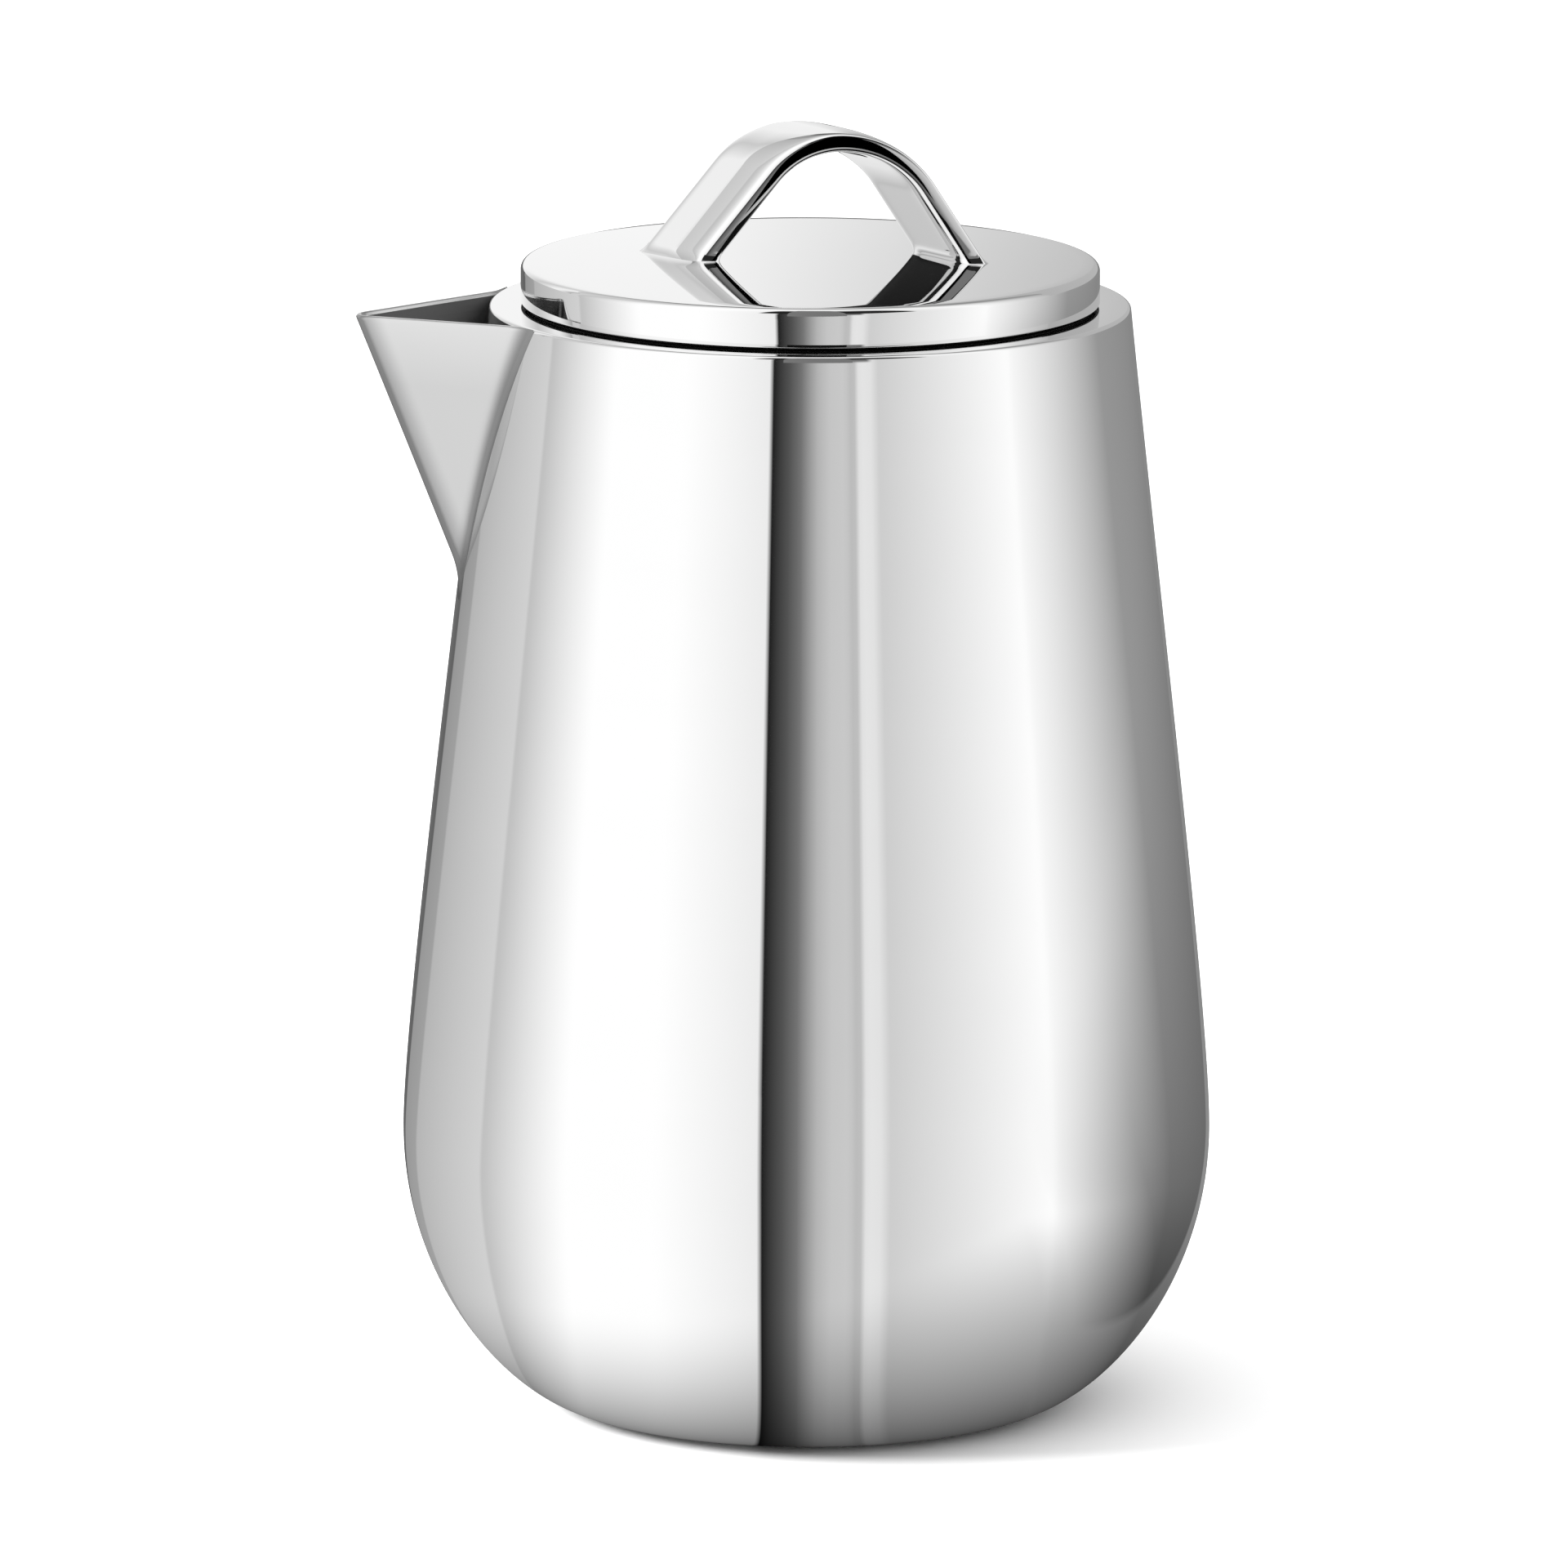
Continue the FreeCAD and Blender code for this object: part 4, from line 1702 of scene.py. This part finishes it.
@dataclass(frozen=True)
class Panel:
    """An upright sheet that only polished steel sees.

    Attributes:
        name: Its name.
        start: How far its left end stands to the right of the pot and towards the camera.
        end: The same for its right end.
        bottom: Height of its lower edge.
        top: Height of its upper edge.
        lights: Brightness at shares of the way from its left end to its right end.
        deepest: A ray that has bounced more often than this sees the panel nearly dark.
        dark_for: Pieces that see it as plain black.
    """

    name: str
    start: Point
    end: Point
    bottom: float
    top: float
    lights: tuple[Point, ...]
    deepest: float
    dark_for: tuple[str, ...] = ()


@dataclass
class Studio:
    """Camera, table, surround of cards and key light."""

    azimuth: float = math.radians(-6.5)
    elevation: float = math.radians(11.0)
    distance: float = 2.6
    aim_height: float = 97.15 * MM
    aim_aside: float = -3.7 * MM
    roll: float = math.radians(0.25)
    lens: float = 386.4
    sensor: float = 36.0
    clip: Point = (0.05, 30.0)
    mirror_gain: float = 1 / 0.88
    walls: tuple[Card, ...] = (
        Card(-180, -157.5, 0.18, 0.11),
        Card(-156.5, -143, 0.29, 0.34),
        Card(-142, -105, 0.45, 0.63),
        Card(-104, -74, 0.52, 0.98),
        Card(-72, -45, 1.0, 1.0),
        Card(-42, -13.1, 0.99, 0.83),
        Card(-12.7, -7, 0.012, 0.085),
        Card(-3, 3, 0.165, 0.46),
        Card(7, 12, 0.555, 0.58),
        Card(14, 16, 0.50, 0.52),
        Card(17, 21, 0.78, 0.76),
        Card(24, 74, 0.61, 0.98),
        Card(76.5, 124, 0.92, 0.30),
        Card(125, 180, 0.30, 0.20),
    )
    dark_areas: tuple[DarkArea, ...] = (
        DarkArea(left=-13, right=22, bottom=3.5, top=95, light=0.2),
        DarkArea(left=-22, right=45, bottom=22, top=75, light=0.02, slant=-0.03),
    )
    spent_light: float = 0.03
    ceiling: float = 0.95
    ceiling_start: float = math.radians(60)
    ceiling_end: float = math.radians(85)
    dome: float = 1.45
    floor_reach: float = 1.6
    floor_colour: float = 0.92
    floor_tint: float = 0.01
    floor_patch: float = 0.2
    band_reach: float = 38 * MM
    band_easing: float = 0.84
    contact_start: float = 33 * MM
    contact_end: float = 80 * MM
    contact_limit: float = 190 * MM
    contact_bearing: float = math.radians(-70)
    contact_spread: float = math.radians(149)
    contact_growth: float = 225 * MM
    shade_start: float = math.radians(64)
    shade_full: float = math.radians(100)
    shade_edge: float = 70 * MM
    shade_slant: float = 0.28
    shade_blur: float = 4 * MM
    shade_depth: float = 0.63
    shade_reach: float = 1.55
    panels: tuple[Panel, ...] = (
        Panel(
            name="back_card",
            start=(-1.5, -0.5),
            end=(1.5, -0.5),
            bottom=0.2,
            top=0.8,
            lights=(
                (0.0, 0.40),
                (0.17, 0.98),
                (0.22, 0.98),
                (0.34, 0.66),
                (0.44, 0.98),
                (0.492, 0.98),
                (0.525, 0.5),
            ),
            deepest=2.5,
        ),
        Panel(
            name="front_flag",
            start=(-0.010, 0.085),
            end=(0.016, 0.085),
            bottom=0.174,
            top=0.33,
            lights=((0.0, 0.2), (1.0, 0.2)),
            deepest=1.5,
            dark_for=("lid_loop",),
        ),
    )
    key_place: tuple[float, float, float] = (-0.95, -0.25, 0.55)
    key_size: float = 0.5
    key_power: float = 24.0

    def back(self) -> Vector:
        """Level direction from the pot towards the camera."""
        return Vector((math.sin(self.azimuth), -math.cos(self.azimuth), 0.0))

    def right(self) -> Vector:
        """Level direction to the right in the picture."""
        return Vector((math.cos(self.azimuth), math.sin(self.azimuth), 0.0))

    def camera(self) -> None:
        """Set the camera at the photograph's angle."""
        data = bpy.data.cameras.new("camera")
        data.sensor_width = self.sensor
        data.lens = self.lens
        data.clip_start, data.clip_end = self.clip
        camera = add_object("camera", data)
        towards = self.back() * math.cos(self.elevation) + Vector((0, 0, math.sin(self.elevation)))
        aim = Vector((0, 0, self.aim_height)) + self.right() * self.aim_aside
        camera.matrix_world = towards.to_track_quat("Z", "Y").to_matrix().to_4x4()
        camera.rotation_euler.rotate_axis("Z", self.roll)
        camera.location = aim + towards * self.distance
        bpy.context.scene.camera = camera

    def _bearing(self, graph: Graph, place: Wire) -> tuple[Wire, Wire, Wire]:
        """Bearing of a place or direction, seen from the pot's axis.

        Args:
            graph: The graph that needs it.
            place: The place or direction.

        Returns:
            Bearing in radians to the right of the camera, and how far the place lies to the right and
            towards the camera.
        """
        dot = {"operation": "DOT_PRODUCT"}
        aside = graph.node("ShaderNodeVectorMath", dot, {0: place, 1: self.right()})["Value"]
        ahead = graph.node("ShaderNodeVectorMath", dot, {0: place, 1: self.back()})["Value"]
        return aside.arctan2(ahead), aside, ahead

    def _cards(self, graph: Graph, bearing: Wire) -> Wire:
        """How bright the cards are at a bearing, as the polished steel needs them.

        Args:
            graph: The graph that needs it.
            bearing: Bearing in radians to the right of the camera.

        Returns:
            The brightness.
        """
        stops = []
        for card in self.walls:
            stops.append((card.start / 360 + 0.5, card.start_light))
            stops.append((card.end / 360 + 0.5, card.end_light))
        place = bearing / (2 * math.pi) + 0.5
        return graph.ramp(stops, place) * self.mirror_gain

    def world(self) -> None:
        """Surround the pot with cards, light the table evenly, and show plain white to the camera."""
        world = bpy.data.worlds.new("studio")
        world.use_nodes = True
        bpy.context.scene.world = world
        graph = Graph(world.node_tree)
        ray = graph.node("ShaderNodeTexCoord")["Generated"]
        bearing = self._bearing(graph, ray)[0]
        height = graph.parts(ray)["Z"].at_least(-1.0).at_most(1.0).arcsin()
        light = self._cards(graph, bearing)
        for area in self.dark_areas:
            light = area.mask(bearing, height).choose(light.at_most(area.light), light)
        up = ((height - self.ceiling_start) / (self.ceiling_end - self.ceiling_start)).bounded()
        light = up.choose(self.ceiling * self.mirror_gain, light)
        path = graph.node("ShaderNodeLightPath")
        light = path["Is Diffuse Ray"].choose(self.dome, light)
        light = path["Is Camera Ray"].choose(1.0, light)
        glow = graph.node("ShaderNodeBackground", {}, {"Color": light, "Strength": 1.0})[0]
        graph.node("ShaderNodeOutputWorld", {}, {"Surface": glow})

    def _table_sheen(self, graph: Graph) -> Wire:
        """How bright the table looks in the polished wall.

        Close to the pot, the bands that the cards make on it spread and it dims. It dims too where the
        pot shades it.

        Args:
            graph: The table's graph.

        Returns:
            The brightness.
        """
        coords = graph.node("ShaderNodeTexCoord")["Object"]
        bearing, aside, ahead = self._bearing(graph, coords)
        reach = graph.node("ShaderNodeVectorMath", {"operation": "LENGTH"}, {0: coords})["Value"]
        close = self.band_reach / reach
        spread = 1 + (close - self.band_easing * close * close * close) * (bearing / 2).cos()
        # Painted contact shade, darkening the table near the foot.
        off = (bearing - self.contact_bearing) / self.contact_spread
        square = off * off
        end = (self.contact_end + self.contact_growth * square * square).at_most(self.contact_limit)
        near = ((reach - self.contact_start) / (end - self.contact_start)).bounded()
        contact = near * (2 - near)
        # Painted shadow of the pot, to its right and behind it.
        rising = ((bearing - self.shade_start) / (self.shade_full - self.shade_start)).bounded()
        beyond = ((aside - self.shade_edge + self.shade_slant * ahead) / self.shade_blur + 0.5).bounded()
        left = (1 - reach / self.shade_reach).at_least(0.0)
        shaded = self.shade_depth * rising * beyond * left * left
        return self._cards(graph, bearing * spread) * contact * (1 - shaded)

    def floor(self) -> bpy.types.Object:
        """Lay a pale table that keeps the pot's shadow.

        Returns:
            The table's sheet.
        """
        material, graph = new_material("table_pale")
        pale = (self.floor_colour,) * 3
        patches = graph.noise(graph.node("ShaderNodeTexCoord")["Object"], self.floor_patch)
        tint = graph.blend(patches, shade(pale, 1 - self.floor_tint), shade(pale, 1 + self.floor_tint))
        matt = graph.node("ShaderNodeBsdfDiffuse", {}, {"Color": tint})[0]
        # Reflections see the table as a glow with painted bands, painted contact shade and a painted
        # shadow; camera and lamp see the pale matt table.
        glow = graph.glow(self._table_sheen(graph))
        mirrored = graph.node("ShaderNodeLightPath")["Is Glossy Ray"]
        mixed = graph.node("ShaderNodeMixShader", {}, {"Fac": mirrored, 1: matt, 2: glow})[0]
        graph.node("ShaderNodeOutputMaterial", {}, {"Surface": mixed})
        reach = self.floor_reach
        corners = [(-reach, -reach, 0.0), (reach, -reach, 0.0), (reach, reach, 0.0), (-reach, reach, 0.0)]
        return self._sheet("table", corners, material)

    def panel(self, panel: Panel) -> bpy.types.Object:
        """Stand a panel in its place.

        Args:
            panel: The panel.

        Returns:
            Its sheet.
        """
        material, graph = new_material(panel.name)
        material.cycles.emission_sampling = "NONE"
        aside = self._bearing(graph, graph.node("ShaderNodeTexCoord")["Object"])[1]
        share = (aside - panel.start[0]) / (panel.end[0] - panel.start[0])
        spent = graph.node("ShaderNodeLightPath")["Ray Depth"] > panel.deepest
        light = graph.ramp(panel.lights, share) * (1 - spent * (1 - self.spent_light))
        graph.node("ShaderNodeOutputMaterial", {}, {"Surface": graph.glow(light)})
        start, end = (
            self.right() * right + self.back() * near for right, near in (panel.start, panel.end)
        )
        low = Vector((0, 0, panel.bottom))
        high = Vector((0, 0, panel.top))
        sheet = self._sheet(panel.name, [start + low, end + low, end + high, start + high], material)
        for ray in ("camera", "diffuse", "shadow", "transmission", "volume_scatter"):
            setattr(sheet, "visible_" + ray, False)
        if panel.dark_for:
            self._keep_from(sheet, panel.dark_for)
        return sheet

    @staticmethod
    def _keep_from(sheet: bpy.types.Object, names: Sequence[str]) -> None:
        """Keep a sheet's light from some pieces.

        Args:
            sheet: The sheet.
            names: Names of the pieces.
        """
        unlit = bpy.data.collections.new(sheet.name + "_unlit")
        for name in names:
            unlit.objects.link(bpy.data.objects[name])
        for entry in unlit.collection_objects:
            entry.light_linking.link_state = "EXCLUDE"
        sheet.light_linking.receiver_collection = unlit

    @staticmethod
    def _sheet(
        name: str, corners: Sequence[Sequence[float]], material: bpy.types.Material
    ) -> bpy.types.Object:
        """A flat sheet through four corners.

        Args:
            name: The sheet's name.
            corners: Its corners, in order.
            material: Its material.

        Returns:
            The sheet.
        """
        mesh = bpy.data.meshes.new(name)
        mesh.from_pydata([tuple(corner) for corner in corners], [], [(0, 1, 2, 3)])
        mesh.materials.append(material)
        return add_object(name, mesh)

    def key_light(self) -> None:
        """Hang a soft lamp up on the left, which casts the shadow to the right."""
        data = bpy.data.lights.new("key", "AREA")
        data.shape = "DISK"
        data.size = self.key_size
        data.energy = self.key_power
        lamp = add_object("key", data)
        lamp.location = self.key_place
        aim = Vector((0, 0, self.aim_height)) - Vector(self.key_place)
        lamp.rotation_euler = aim.to_track_quat("-Z", "Y").to_euler()
        lamp.visible_glossy = False

    def build(self) -> None:
        """Set up the whole studio."""
        self.camera()
        self.world()
        self.key_light()
        self.floor()
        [self.panel(panel) for panel in self.panels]
        bpy.context.scene.view_settings.view_transform = "Standard"


@dataclass
class HiddenWorks:
    """Pieces inside the walls and the lid, which keep their solids and get a finish."""

    finishes: dict[str, Finish] = field(
        default_factory=lambda: {
            "pour_duct": SATIN,
            "heat_foil": FOIL,
            "getter": GETTER,
            "base_plate": SATIN,
            "vacuum_seal": SOLDER,
            "base_cover": SATIN,
            "handle_studs": FASTENER,
            "handle_washers": FASTENER,
            "handle_nuts": FASTENER,
            "lid_insulation": FOAM,
        }
    )

    def dress(self) -> None:
        """Give each piece its finish."""
        for node, finish in self.finishes.items():
            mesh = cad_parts[node].data
            mesh.materials.clear()
            mesh.materials.append(finish.material())
            log.info("%s keeps its solid, in %s", node, finish.name)


def settle(piece: bpy.types.Object, body: Body, node: str) -> None:
    """Let a piece ride on its body in place of a solid.

    Args:
        piece: The piece.
        body: Body that carries it.
        slot: Material slot that it takes its finish from.
        node: The solid that it stands for.
    """
    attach(piece, body.value)
    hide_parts(node)
    faces = len(piece.data.polygons)
    log.info("%s stands for %s on %s, with %d faces", piece.name, node, body.value, faces)


def main() -> None:
    """Build the pot, the lid and the studio."""
    logging.basicConfig(level=logging.INFO, format="%(name)s: %(message)s")
    turned = TurnedForm()
    pot = PotForm()
    spout = Spout(pot)
    outer = OuterPot(pot)
    liner = Liner(pot)
    lid_form = LidForm(pot)
    lid = Lid(lid_form)

    settle(outer.shell(turned, spout), Body.POT, "outer_shell")
    settle(spout.build(SpoutForm()), Body.POT, "spout")
    settle(outer.ring(turned), Body.POT, "rim_ring")
    settle(outer.foot(turned), Body.POT, "foot_pad")
    settle(liner.body(turned, spout), Body.POT, "liner_body")
    settle(liner.base(turned), Body.POT, "liner_base")
    settle(Gasket(lid_form).build(turned), Body.GASKET, "lid_seal")
    settle(lid.cap(turned), Body.LID, "lid_cap")
    settle(lid.pan(turned), Body.LID, "lid_pan")
    settle(lid.loop(LoopForm()), Body.LID, "lid_handle")
    HiddenWorks().dress()
    Studio().build()


if __name__ == "__main__":
    main()
